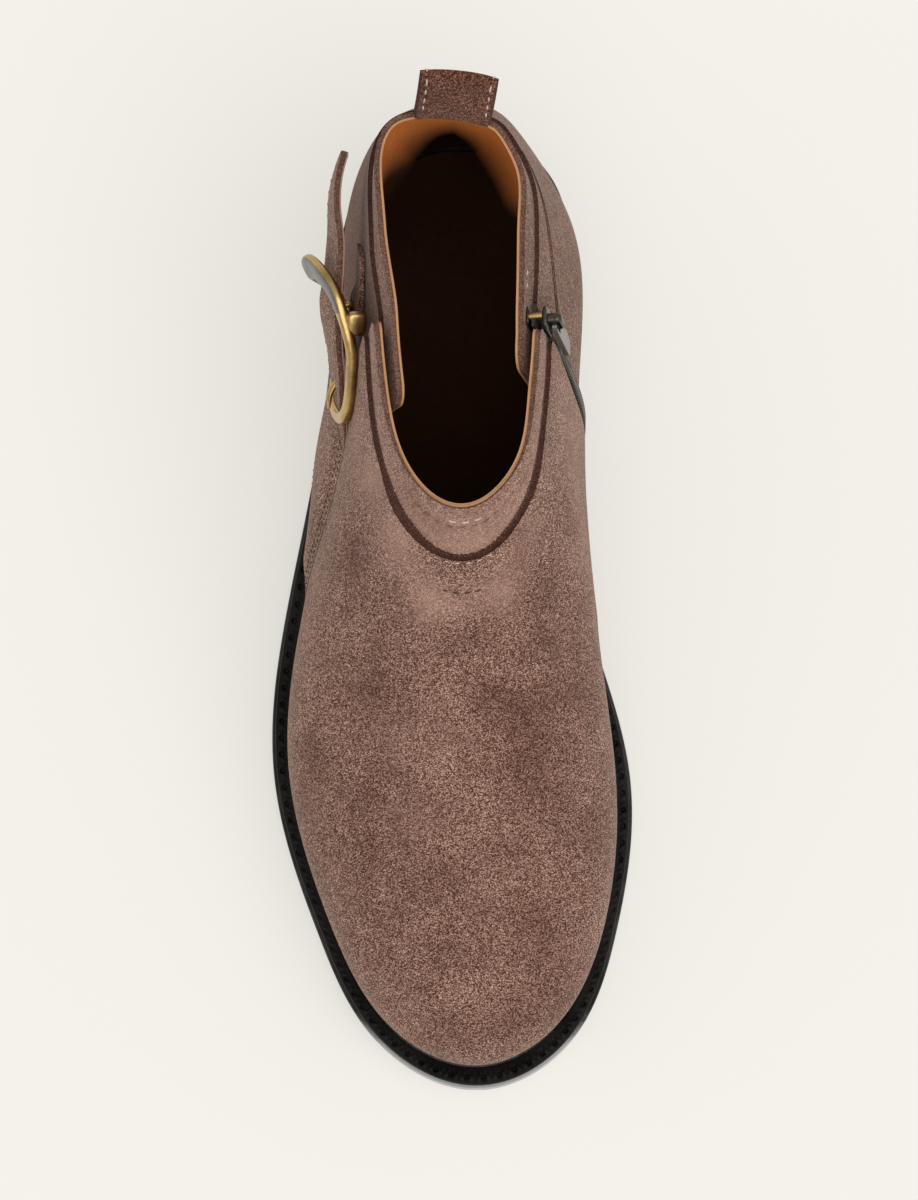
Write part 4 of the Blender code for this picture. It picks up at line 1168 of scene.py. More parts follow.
    def field_of(self, across: Callable, low: float, high: float, rows: int, columns: int,
                 corner: float) -> tuple[Array, Array]:
        """Grid of angles and levels of a panel whose two upper corners are rounded.

        Args:
            across: Function from level and share to angle.
            low: Lowest level.
            high: Level of the upper edge.
            rows: Rows up the wall.
            columns: Columns round it.
            corner: Radius of the upper corners.

        Returns:
            Angles and levels, rows by columns.
        """
        share = crowded(columns)
        rim = self.last.surface(across(np.full(columns, high), share), high)
        way = reach(rim)
        left = np.clip(corner - np.minimum(way, way[-1] - way), 0.0, corner)
        drop = corner - np.sqrt(corner ** 2 - left ** 2)
        step = 0.02
        below = self.last.surface(across(np.full(columns, high - step), share), high - step)
        top = high - drop / np.linalg.norm(rim - below, axis=1) * step
        level = mix(low, top[None, :], crowded(rows, 0.5)[:, None])
        return across(level, share[None, :]), level

    def panel(self, angle: Array, level: Array, outer: Array, inner: Array,
              finish: tuple[int, ...]) -> Form:
        """Leather panel between two depths of the wall, with softly rounded cut edges."""
        faces = [self.last.inset(angle, level, depth) for depth in (outer, inner)]
        return slab(*faces, finish, ((0.12, 0.1), (0.5, 0.16), (0.88, 0.1)))

    def build_vamp(self) -> None:
        """Vamp with its creases and brushed nap, and painted shade and painted highlights on the nap."""
        angle, level = self.field_of(self.vamp_angle, 0.0, self.band_start, self.rows, self.columns,
                                     self.corner)
        points = self.last.surface(angle, level)
        fade = smooth(level / 0.08)
        below = (self.band_start - level) * self.level_high - self.groove_below
        groove = self.groove_deep * np.exp(-below ** 2 / 0.5) * np.exp(-(angle / 0.8) ** 2)
        outer = self.strokes(points, self.creases) * fade + groove
        form = self.panel(angle, level, outer, np.full_like(level, self.skin), (0, 0, 1))
        # Painted shade: the nap darkens just below the band, beside the vamp's dark cut edge; the strokes
        # fade where the wall stops facing up.
        valley = self.valley_shade * np.exp(-((self.band_start - level) / 0.006) ** 2)
        facing = smooth((self.last.normal(angle, level)[..., 2] - 0.04) / 0.2)
        form.marks["shade"] = form.spread(self.strokes(points, self.rubs) * facing + valley)
        vamp = add_piece("vamp", form, [Palette.SUEDE, Palette.CUT_EDGE])
        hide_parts("upper")

    def build_quarter(self) -> None:
        """Back quarter, which runs on under the vamp, and the double seam on its medial side."""
        angle, level = self.field_of(self.quarter_angle, 0.0, self.quarter_band, 100, 300, 3.0)
        depth = self.last.quarter_depth + self.last.slit_depth(angle, level)
        form = self.panel(angle, level, depth, depth + self.skin, (0, 0, 1))
        # Painted shade: the lateral side, turned away from the key light, is darker.
        lateral = smooth((-self.last.surface(angle, level)[..., 0] - 8.0) / 12.0)
        form.marks["shade"] = form.spread(self.quarter_shade + self.lateral_shade * lateral)
        add_piece("quarter", form, [Palette.SUEDE, Palette.CUT_EDGE])
        turn = np.linspace(self.seam_angles[0], self.seam_angles[-1], 160)
        line = eased(np.interp(turn, self.seam_angles, self.seam_levels)[:, None], 25)[:, 0]
        depth = np.full(len(turn), self.last.quarter_depth + 0.1)
        seams = [tube(self.last.inset(turn, line - drop, depth), 0.3, 8) for drop in (0.0, 0.02)]
        add_piece("quarter_seam", joined(seams), [Palette.CUT_EDGE])

    def build_bands(self) -> None:
        """Suede bands above the cut edges of the vamp and the quarter, up to the collar, with painted
        highlights and a line of painted shade on the vamp's band.
        """
        finishes = [Palette.SUEDE, Palette.BAND_EDGE]
        angle, level = self.field_of(self.vamp_angle, self.band_start - 0.02, 1.0, 60, 300, self.corner)
        depth = np.full_like(level, self.skin)
        rise = self.band_rise * smooth((np.abs(angle) - 0.5) / 0.8)
        form = self.panel(angle, level, depth - rise, depth + self.band_thick, (0, 0, 1))
        wide = self.valley * (1.0 + smooth(np.abs(angle) / 1.2))
        lip = np.exp(-((level - self.band_start - wide - 0.008) / 0.007) ** 2)
        # Painted highlights: the vamp's band is paler all round, most at the front and along the lip beside
        # the dark line.
        pale = self.band_pale + self.front_pale * np.exp(-(angle / 0.9) ** 2) + self.lip_pale * lip
        # Darker towards the topline.
        pale = pale + self.top_shade * smooth((level - 0.984) / 0.008)
        # The band's lower edge is dark along the vamp's cut edge: partly the cut edge's own dark colour,
        # partly painted shade in the step.
        inside = smooth((self.band_start + wide - level) / 0.0016)
        form.marks["shade"] = form.spread(mix(pale, self.valley_dark, inside))
        add_piece("vamp_band", form, finishes)
        angle, level = self.field_of(self.quarter_angle, self.quarter_band - 0.03, 1.0, 24, 300,
                                     self.back_corner)
        depth = self.last.quarter_depth + self.skin + self.last.slit_depth(angle, level)
        form = self.panel(angle, level, depth - self.band_rise, depth + self.band_thick, (0, 0, 1))
        form.marks["shade"] = form.spread(np.full_like(level, self.back_band_shade))
        add_piece("quarter_band", form, finishes)

    def build_lining(self) -> None:
        """Tan lining that leans in at the heel, with painted shade that makes it go dark down in the foot."""
        finishes = [Palette.LINING, Palette.LINING_EDGE]
        depth = self.skin + self.band_thick
        angle, level = self.field_of(self.vamp_angle, 0.01, 1.003, 80, 220, self.corner)
        lean = smooth((1.0 - level) / 0.12) * smooth((level - 0.5) / 0.3)
        inner = depth + self.lining_thick + self.vamp_pad * smooth(np.abs(angle) / 1.2) * lean
        form = self.panel(angle, level, np.full_like(level, depth), inner, (1, 0, 1, 1))
        # Painted shade: darker down from the collar.
        form.marks["deep"] = form.spread(smooth((0.99 - level) / 0.13))
        add_piece("vamp_lining", form, finishes)
        angle, level = self.field_of(self.quarter_angle, 0.02, 1.003, 80, 260, self.back_corner)
        points = self.last.surface(angle, level)
        depth = depth + self.last.quarter_depth + self.last.slit_depth(angle, level)
        seam = 0.35 * np.exp(-((angle - math.pi) * 55.0 / 0.7) ** 2)
        lean = smooth((1.0 - level) / 0.22) * smooth((level - 0.3) / 0.3)
        reach_in = smooth((points[..., 1] - 80.0 + 0.25 * points[..., 0]) / 22.0)
        pad = (self.back_pad + self.corner_pad * smooth(np.abs(points[..., 0]) / 14.0)) * reach_in * lean
        form = self.panel(angle, level, depth, depth + self.lining_thick - seam + pad, (1, 0, 1, 1))
        # Painted shade: darker down from the collar, fading in more slowly at the back.
        form.marks["deep"] = form.spread(smooth((0.995 - level) / mix(0.06, 0.2, reach_in)))
        add_piece("quarter_lining", form, finishes)

    def rim_line(self, across: Callable, level: float, depth: Union[float, Callable], low: float,
                 high: float) -> tuple[Array, Array]:
        """Line round a panel at one level and its outward directions.

        Args:
            across: Function from level and share to angle.
            level: Level of the line.
            depth: Function from angle and level to depth, or a plain depth.
            low: Share at which it starts.
            high: Share at which it ends.

        Returns:
            Points and normals.
        """
        share = np.linspace(low, high, 700)
        levels = np.full(len(share), level)
        angle = across(levels, share)
        inward = depth(angle, levels) if callable(depth) else depth
        return self.last.inset(angle, levels, inward), self.last.normal(angle, levels)

    def build_stitches(self) -> None:
        """Taupe rows beside the cut edges and below the collar, loose pale stitches and the front's holes."""
        def under(extra: float) -> Callable:
            """Depth of the quarter's face and a little more, as a function of the place."""
            deep = self.last.quarter_depth + extra
            return lambda angle, level: deep + self.last.slit_depth(angle, level)

        rows = []
        top = self.collar_row
        for level, depth in ((self.band_start - self.row_below, 0.0), (top, self.skin - 0.5)):
            line = self.rim_line(self.vamp_angle, level, depth, 0.03, 0.97)
            rows.append(self.stitch.row(*line, self.row_sink))
        for level, extra in ((self.quarter_band - self.row_below, 0.0), (top, self.skin - self.band_rise)):
            line = self.rim_line(self.quarter_angle, level, under(extra), 0.08, 0.94)
            rows.append(self.stitch.row(*line, self.row_sink))
        add_piece("upper_stitches", joined(rows), [Palette.SUEDE_THREAD])
        bits = []
        for low, high in ((0.865, 0.9), (0.91, 0.925)):
            line = self.rim_line(self.quarter_angle, top, under(self.skin - self.band_rise), low, high)
            bits.append(self.stitch.row(*line, 0.1))
        bits.append(self.stitch.row(*self.rim_line(self.vamp_angle, 0.981, self.skin, 0.42, 0.56), 0.0))
        line = self.rim_line(self.vamp_angle, self.band_start - 0.003, 0.0, 0.4, 0.57)
        bits.append(self.hem.row(*line, 0.25))
        add_piece("loose_stitches", joined(bits), [Palette.THREAD])
        line = self.rim_line(self.vamp_angle, 0.893, 0.0, 0.44, 0.57)
        add_piece("front_holes", self.hem.row(*line, 0.2), [Palette.BROWN_THREAD])

    def build(self) -> None:
        """Build and dress every panel."""
        self.build_vamp()
        self.build_quarter()
        self.build_bands()
        self.build_lining()
        self.build_stitches()


@dataclass
class Frame:
    """A place on the wall: origin in millimetres and three unit directions as rows."""

    origin: Array
    axes: Array

    def place(self, local: Array) -> Array:
        """Points of the frame in the boot."""
        return self.origin + np.asarray(local) @ self.axes

    def moved(self, local: tuple[float, float, float]) -> "Frame":
        """The frame moved along its own directions."""
        return Frame(self.place(local), self.axes)


def wall_frame(last: Last, y: float, z: float, side: Side, along: Array) -> Frame:
    """Frame on the wall with its first axis along a direction and its third outwards.

    Args:
        last: The last.
        y: Place along the foot.
        z: Height.
        side: Side of the foot.
        along: Direction, of which the part along the wall counts.

    Returns:
        The frame.
    """
    angle, level = last.on_wall(y, z, side)
    out = last.normal(angle, level)
    first = unit(along - out * (along @ out))
    return Frame(last.surface(angle, level), np.stack([first, np.cross(out, first), out]))


@dataclass(frozen=True)
class StrapRow:
    """One place on the strap.

    Attributes:
        y: Its middle along the foot.
        z: Height of its middle.
        half_wide: Half its width.
        lift: Clearance over the lateral wall.
        roll: How far its lower edge stands out.
    """

    y: float
    z: float
    half_wide: float
    lift: float
    roll: float = 0.0


@dataclass
class Strap:
    """Strap over the lateral wall: suede outside, tan backing inside, stitched along its edges."""

    last: Last
    thick: float = 2.0
    backing: float = 0.4
    crown: float = 0.25
    welt_high: float = 4.9
    stitch_in: float = 2.3
    steps: int = 200
    columns: int = 26
    shade: float = -0.05
    free_from: float = 0.44
    thinned: float = 0.96
    stitch_sink: float = 0.25
    lower_row: tuple[int, int] = (6, -8)
    upper_row: tuple[int, int] = (104, -8)
    seam_row: tuple[int, int] = (3, 92)
    seam_at: tuple[float, float] = (0.72, 0.86)
    stitch: Stitching = Stitching(length=2.3, pitch=3.1, radius=0.3)
    hole: Stitching = Stitching(length=1.0, pitch=2.4, radius=0.3, dip=0.2)
    rows: tuple[StrapRow, ...] = (
        StrapRow(12.0, 21.0, 13.0, 0.35),
        StrapRow(18.0, 33.5, 12.8, 0.7, 0.5),
        StrapRow(24.5, 46.0, 12.5, 1.0, 0.8),
        StrapRow(31.5, 57.5, 12.2, 1.0, 0.9),
        StrapRow(39.5, 68.0, 11.8, 0.9, 0.8),
        StrapRow(46.0, 77.0, 10.8, 1.2, 0.9),
        StrapRow(54.0, 86.0, 10.0, 3.0, 1.1),
        StrapRow(61.0, 91.4, 9.4, 4.7, 1.2),
        StrapRow(68.0, 94.6, 9.2, 5.4, 1.2),
        StrapRow(76.0, 97.0, 9.0, 4.4, 0.9),
        StrapRow(85.0, 99.8, 9.4, 3.8, 0.7),
        StrapRow(93.5, 102.5, 9.2, 4.6, 0.3),
        StrapRow(100.0, 104.6, 8.2, 4.2),
        StrapRow(103.8, 105.8, 6.0, 3.6),
        StrapRow(105.0, 106.2, 3.5, 3.4),
    )

    def path(self, count: int, width: int = 1) -> Array:
        """Evenly spaced rows along the strap, smoothed by a moving mean.

        Args:
            count: Number of rows.
            width: Rows in the mean.

        Returns:
            Places, half-widths, clearances and rolls as columns.
        """
        table = np.array([(row.y, row.z, row.half_wide, row.lift, row.roll) for row in self.rows])
        way = reach(table[:, :2])
        place = np.linspace(0.0, way[-1], count)
        even = np.stack([np.interp(place, way, table[:, k]) for k in range(5)], axis=1)
        return eased(even, width)

    def grid(self, across: Array) -> tuple[Array, Array, Array]:
        """Wall angles and levels, and clearance, at shares of the half-width across the strap.

        Args:
            across: Shares from -1 at the lower rear edge to 1 at the upper front edge.

        Returns:
            Angles, levels and clearances, steps by shares.
        """
        path = self.path(self.steps, 9)
        along = unit(np.gradient(path[:, :2], axis=0))
        side = np.stack([-along[:, 1], along[:, 0]], axis=1)
        spot = path[:, None, :2] + side[:, None] * (across[None, :] * path[:, 2:3])[..., None]
        y, z = spot[..., 0], spot[..., 1]
        z = np.maximum(z, self.last.seat(y) + self.welt_high)
        angle, level = self.last.on_wall(y, z, Side.LATERAL)
        return angle, level, path[:, 3:4] - across[None, :] * path[:, 4:5]

    @staticmethod
    def to_front(across: Array) -> Array:
        """Share by which the strap thins out towards its front edge."""
        return smooth((across - 0.3) / 0.7)

    def build(self) -> None:
        """Build the two layers, which thin out to the vamp along the front edge, and the stitches."""
        across = np.linspace(-1.0, 1.0, self.columns)
        angle, level, lift = self.grid(across)
        along = np.linspace(0.0, 1.0, self.steps)[:, None]
        free = smooth((along - self.free_from) / 0.1)
        thin = np.maximum((1.0 - free) * self.to_front(across[None, :]), smooth((0.06 - along) / 0.06))
        full = 1.0 - self.thinned * thin
        crown = self.crown * (1.0 - across ** 4)[None, :]
        top = self.last.inset(angle, level, -((lift + self.thick - self.crown + crown) * full + 0.06))
        seam = self.last.inset(angle, level, -(lift + self.backing) * full)
        low = self.last.inset(angle, level, -lift * full)
        edge = ((0.1, 0.06), (0.5, 0.1), (0.9, 0.06))
        form = slab(top, seam, (0, 0, 1), edge)
        form.marks["shade"] = np.full(len(form.points), self.shade)
        strap = add_piece("strap_suede", form, [Palette.SUEDE, Palette.BAND_EDGE])
        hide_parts("strap")
        form = slab(seam, low, (0, 0, 0), edge)
        add_piece("strap_backing", form, [Palette.STRAP_EDGE])
        inset = 1.0 - self.stitch_in / 11.0
        angle, level, lift = self.grid(np.array([-inset, inset]))
        line = self.last.inset(angle, level, -(lift + self.thick))
        out = self.last.normal(angle, level)
        rows = []
        for k, ends in enumerate((self.lower_row, self.upper_row)):
            part = slice(*ends)
            rows.append(self.stitch.row(line[part, k], out[part, k], self.stitch_sink))
        add_piece("strap_stitches", joined(rows), [Palette.SUEDE_THREAD])
        spot = np.array(self.seam_at)
        angle, level, lift = self.grid(spot)
        full = 1.0 - self.thinned * self.to_front(spot)
        line = self.last.inset(angle, level, -((lift + self.thick) * full[None, :]))
        out = self.last.normal(angle, level)
        part = slice(*self.seam_row)
        rows = [self.hole.row(line[part, k], out[part, k], 0.1) for k in range(len(spot))]
        add_piece("strap_seam", joined(rows), [Palette.BROWN_THREAD])


@dataclass
class Buckle:
    """Bowed oval frame with a centre bar, prong and the tab that holds the bar."""

    last: Last
    strap: Strap
    y: float = 60.0
    z: float = 92.0
    roll: float = 7.5
    half_long: float = 21.0
    half_wide: float = 14.6
    mid_high: float = 3.5
    front_high: float = 3.3
    rear_high: float = 9.6
    section: float = 1.7
    plate: float = 3.4
    thick: float = 1.5
    bar_at: float = 7.0
    bar_high: float = 1.9
    bar_radius: float = 1.0
    lug: tuple[float, float, float] = (3.2, 1.4, 0.6)
    lug_back: float = 2.6
    lug_in: float = 0.4
    lug_below: float = 1.1
    prong_radius: float = 0.9
    tab_thick: float = 1.2
    tab_half_wide: float = 5.0
    tab_tail: float = 17.0
    tuck: float = 3.2
    kick: float = 0.16
    rear_long: float = 18.4

    def frame(self) -> Frame:
        """Frame on the wall whose first axis runs along the strap to the heel.

        Returns:
            The frame, turned about that axis so that its upper side is rolled in.
        """
        path = self.strap.path(200)
        near = int(np.abs(path[:, 0] - self.y).argmin())
        spots = path[[near - 6, near + 6]]
        ends = self.last.wall(spots[:, 0], spots[:, 1], Side.LATERAL, 0.0)
        flat = wall_frame(self.last, self.y, self.z, Side.LATERAL, ends[1] - ends[0])
        first, second, out = flat.axes
        cos, sin = math.cos(math.radians(self.roll)), math.sin(math.radians(self.roll))
        return Frame(flat.origin, np.stack([first, cos * second + sin * out, cos * out - sin * second]))

    def high(self, along: Array) -> Array:
        """Height of the frame's middle line: flat at the front and rising by a power to its rear end.

        Args:
            along: Places along the buckle.

        Returns:
            Heights over the wall.
        """
        share = along / self.half_long
        front = (self.front_high - self.mid_high) * smooth(-share / 0.7)
        return self.mid_high + front + (self.rear_high - self.mid_high) * np.clip(share, 0.0, None) ** 1.3

    def build_frame(self, frame: Frame) -> None:
        """Oval ring carried round squared sines, wider at its rear end, with the bar on its lugs.

        Args:
            frame: The buckle's place.
        """
        sides = 24
        turn = np.linspace(0.0, TURN, 180, endpoint=False)
        reach_out = np.where(np.cos(turn) > 0.0, self.rear_long, self.half_long)
        along = reach_out * bent(np.cos(turn), 0.8)
        across = self.half_wide * bent(np.sin(turn), 0.8)
        rear = smooth((along / self.rear_long - 0.4) / 0.5)
        tucked = self.tuck * np.clip(across / self.half_wide, 0.0, 1.0) ** 2 * (1.0 - rear)
        tucked = tucked - self.kick * rear * np.clip(across + 9.0, 0.0, None)
        centre = np.stack([along, across, self.high(along) - tucked], axis=1)
        tangent = unit(np.roll(centre, -1, 0) - np.roll(centre, 1, 0))
        slope = (self.high(along + 0.1) - self.high(along - 0.1)) / 0.2
        out = unit(np.cross(tangent, np.stack([-slope, -self.kick * rear, np.ones_like(slope)], axis=1)))
        rise = unit(np.cross(out, tangent))
        half = mix(self.section, self.plate, smooth((along / self.rear_long - 0.5) / 0.5))
        spin = np.linspace(0.0, TURN, sides, endpoint=False)
        wide = bent(np.cos(spin), 0.6)
        tall = bent(np.sin(spin), 0.75)
        sections = centre[:, None] + out[:, None] * (half[:, None] * wide)[..., None]
        sections = sections + rise[:, None] * (self.thick * tall)[None, :, None]
        ring = loft(frame.place(sections), ring=True)
        spot = np.arange(len(ring.quads)) // sides
        face = np.arange(len(ring.quads)) % sides
        ring.finish = ((rear[spot] > 0.5) & (face > 1) & (face < 10)).astype(int)
        parts = [ring]
        bar = np.linspace(-self.half_wide, self.half_wide, 9)
        bar = np.stack([np.full(9, self.bar_at), bar, np.full(9, self.bar_high)], axis=1)
        parts.append(tube(frame.place(bar), self.bar_radius, 16))
        top = float(self.high(np.array(self.bar_at)))
        long, wide, margin = self.lug
        foot = self.bar_high - self.lug_below
        for sign, crest in ((-1.0, top), (1.0, top - self.tuck)):
            out = sign * (self.half_wide - self.lug_in)
            lug = frame.place((self.bar_at + self.lug_back, out, (foot + crest) / 2.0))
            parts.append(blob(lug, frame.axes, (long, wide, abs(crest - foot) / 2.0 + margin), 0.55))
        buckle = add_piece("buckle_oval", joined(parts), [Palette.BRASS, Palette.STEEL])
        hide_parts("buckle_frame")

    def build_prong(self, frame: Frame) -> None:
        """Prong: an eye round the bar, then a rise through the strap to rest on the front of the frame.

        Args:
            frame: The buckle's place.
        """
        wrap = self.bar_radius + self.last.gap + self.prong_radius
        turn = np.radians(np.linspace(-110.0, 150.0, 30))
        eye = np.stack([self.bar_at + wrap * np.cos(turn), self.bar_high + wrap * np.sin(turn)], axis=1)
        tip = self.front_high + self.thick + self.prong_radius
        arm = np.array([(0.0, 4.0), (-11.0, 3.0), (-14.5, tip - 0.6), (-16.5, tip),
                        (1.0 - self.half_long, tip - 0.1)])
        line = np.concatenate([eye, arm])
        line = eased(sample(line, np.linspace(0.0, reach(line)[-1], 120)), 7)
        local = np.stack([line[:, 0], np.zeros(len(line)), line[:, 1]], axis=1)
        radius = self.prong_radius * (1.0 - 0.45 * smooth((np.linspace(0.0, 1.0, 120) - 0.9) / 0.1))
        prong = add_piece("buckle_pin", tube(frame.place(local), radius, 14, 0.85, frame.axes[2]),
                          [Palette.BRASS])
        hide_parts("buckle_prong")

    def build_tab(self, frame: Frame) -> None:
        """Tab on the quarter: a fold round the bar and a tail that eases down on to the wall.

        Args:
            frame: The buckle's place.
        """
        wrap = self.bar_radius + self.last.gap + self.tab_thick / 2.0
        turn = np.radians(np.linspace(60.0, 270.0, 40))
        loop = np.stack([self.bar_at + wrap * np.cos(turn), self.bar_high + wrap * np.sin(turn)], axis=1)
        tail = self.bar_at + np.linspace(3.0, self.tab_tail, 24)
        seat = -self.last.quarter_depth + self.last.gap + self.tab_thick / 2.0
        down = smooth((tail - self.bar_at - 1.0) / 6.0)
        tail = np.stack([tail, mix(self.bar_high - wrap, seat, down)], axis=1)
        path = np.concatenate([loop, tail])
        way = unit(np.gradient(path, axis=0))
        side = np.stack([-way[:, 1], way[:, 0]], axis=1) * self.tab_thick / 2.0
        across = np.linspace(-self.tab_half_wide, self.tab_half_wide, 15)
        plan = np.stack(np.meshgrid(path[:, 0], across, indexing="ij"), axis=-1)
        flat = raised(plan, np.zeros(plan.shape[:2]))
        sag = np.zeros(flat.shape[:2])
        for _ in range(4):
            point = frame.place(flat + sag[..., None] * [0.0, 0.0, 1.0])
            wall = self.last.wall(point[..., 1], point[..., 2], Side.LATERAL, 0.0)
            sag = sag + (wall - point) @ frame.axes[2]
        faces = []
        for sign in (1.0, -1.0):
            line = path + sign * side
            high = line[:, 1:2] + sag * smooth((path[:, :1] - self.bar_at - 1.0) / 6.0)
            local = np.stack(np.broadcast_arrays(line[:, :1], across, high), axis=-1)
            faces.append(frame.place(local))
        form = slab(*faces)
        # Painted shade: the tab is darkened to read as the shadow beside the strap.
        form.marks["shade"] = np.full(len(form.points), 0.25)
        tab = add_piece("bar_tab", form, [Palette.SUEDE])
        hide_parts("buckle_tab")

    def build(self) -> None:
        """Build frame, prong and tab."""
        frame = self.frame()
        self.build_frame(frame)
        self.build_prong(frame)
        self.build_tab(frame)


@dataclass
class PullLoop:
    """Folded strip at the back of the collar, stitched along both sides."""

    last: Last
    thick: float = 1.4
    wide: float = 23.0
    tall: float = 23.0
    lean: float = 4.5
    sway: float = 1.7
    shift: float = 0.4
    tail: float = 8.6
    band_out: float = 3.9
    band_in: float = 5.3
    stitch_in: float = 1.9
    stitch: Stitching = Stitching(length=3.2, pitch=4.6, radius=0.24)

    def line(self) -> tuple[Array, Array]:
        """Folded middle line of the strip: up, half a circle and down.

        Returns:
            Its (depth, height) points and the steps from them to the outer face.
        """
        outer = self.band_out - self.last.gap - self.thick / 2.0
        inner = (self.band_out + self.band_in) / 2.0
        radius = (inner - outer) / 2.0
        turn = np.linspace(0.0, math.pi, 15)
        top = self.tall - radius
        middle = (outer + inner) / 2.0
        arc = np.stack([middle - radius * np.cos(turn), top + radius * np.sin(turn)], axis=1)
        up = np.stack([np.full(30, outer), np.linspace(-self.tail, top - 0.5, 30)], axis=1)
        down = np.stack([np.full(30, inner), np.linspace(top - 0.5, self.last.gap + 0.1, 30)], axis=1)
        path = np.concatenate([up, arc, down])
        way = unit(np.gradient(path, axis=0))
        return path, np.stack([-way[:, 1], way[:, 0]], axis=1) * self.thick / 2.0

    def place(self, line: Array, angle: Array) -> Array:
        """Carry a line round the heel: along the wall below the collar, up and leaning back above it.

        Args:
            line: (depth, height) points.
            angle: Angles round the heel.

        Returns:
            Points, line by angles.
        """
        back = np.linalg.norm(self.last.surface(math.pi, 1.0) - self.last.surface(math.pi, 0.98)) / 0.02
        depth, high = line[:, :1], line[:, 1:2]
        level = np.broadcast_to(np.minimum(1.0, 1.0 + high / back), (len(line), len(angle)))
        turned = np.broadcast_to(angle, level.shape)
        points = self.last.inset(turned, level, np.broadcast_to(depth, level.shape))
        above = np.maximum(high, 0.0)
        points[..., 2] += above
        points[..., 0] += self.sway * (above / self.tall)
        points[..., 1] += self.lean * (above / self.tall) ** 1.5
        return points

    def build(self) -> None:
        """Build the strip and its stitches."""
        collar = self.last.half_width("collar", math.pi)
        middle = math.pi + self.shift / collar
        half = math.asin(self.wide / 2.0 / collar)
        angle = middle + np.linspace(half, -half, 25)
        path, side = self.line()
        edge = ((0.12, 0.06), (0.5, 0.1), (0.88, 0.06))
        form = slab(self.place(path + side, angle), self.place(path - side, angle), (0, 0, 1), edge)
        loop = add_piece("heel_loop", form, [Palette.LOOP, Palette.CUT_EDGE])
        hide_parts("pull_loop")
        rows = []
        inset = 1.0 - 2.0 * self.stitch_in / self.wide
        for sign in (-1.0, 1.0):
            lines = self.place(path + side, np.array([middle + sign * inset * half]))[:, 0]
            nearby = self.place(path, np.array([middle + sign * inset * half]))[:, 0]
            rows.append(self.stitch.row(lines[2:-2], unit(lines - nearby)[2:-2], 0.05))
        add_piece("loop_stitches", joined(rows), [Palette.THREAD])


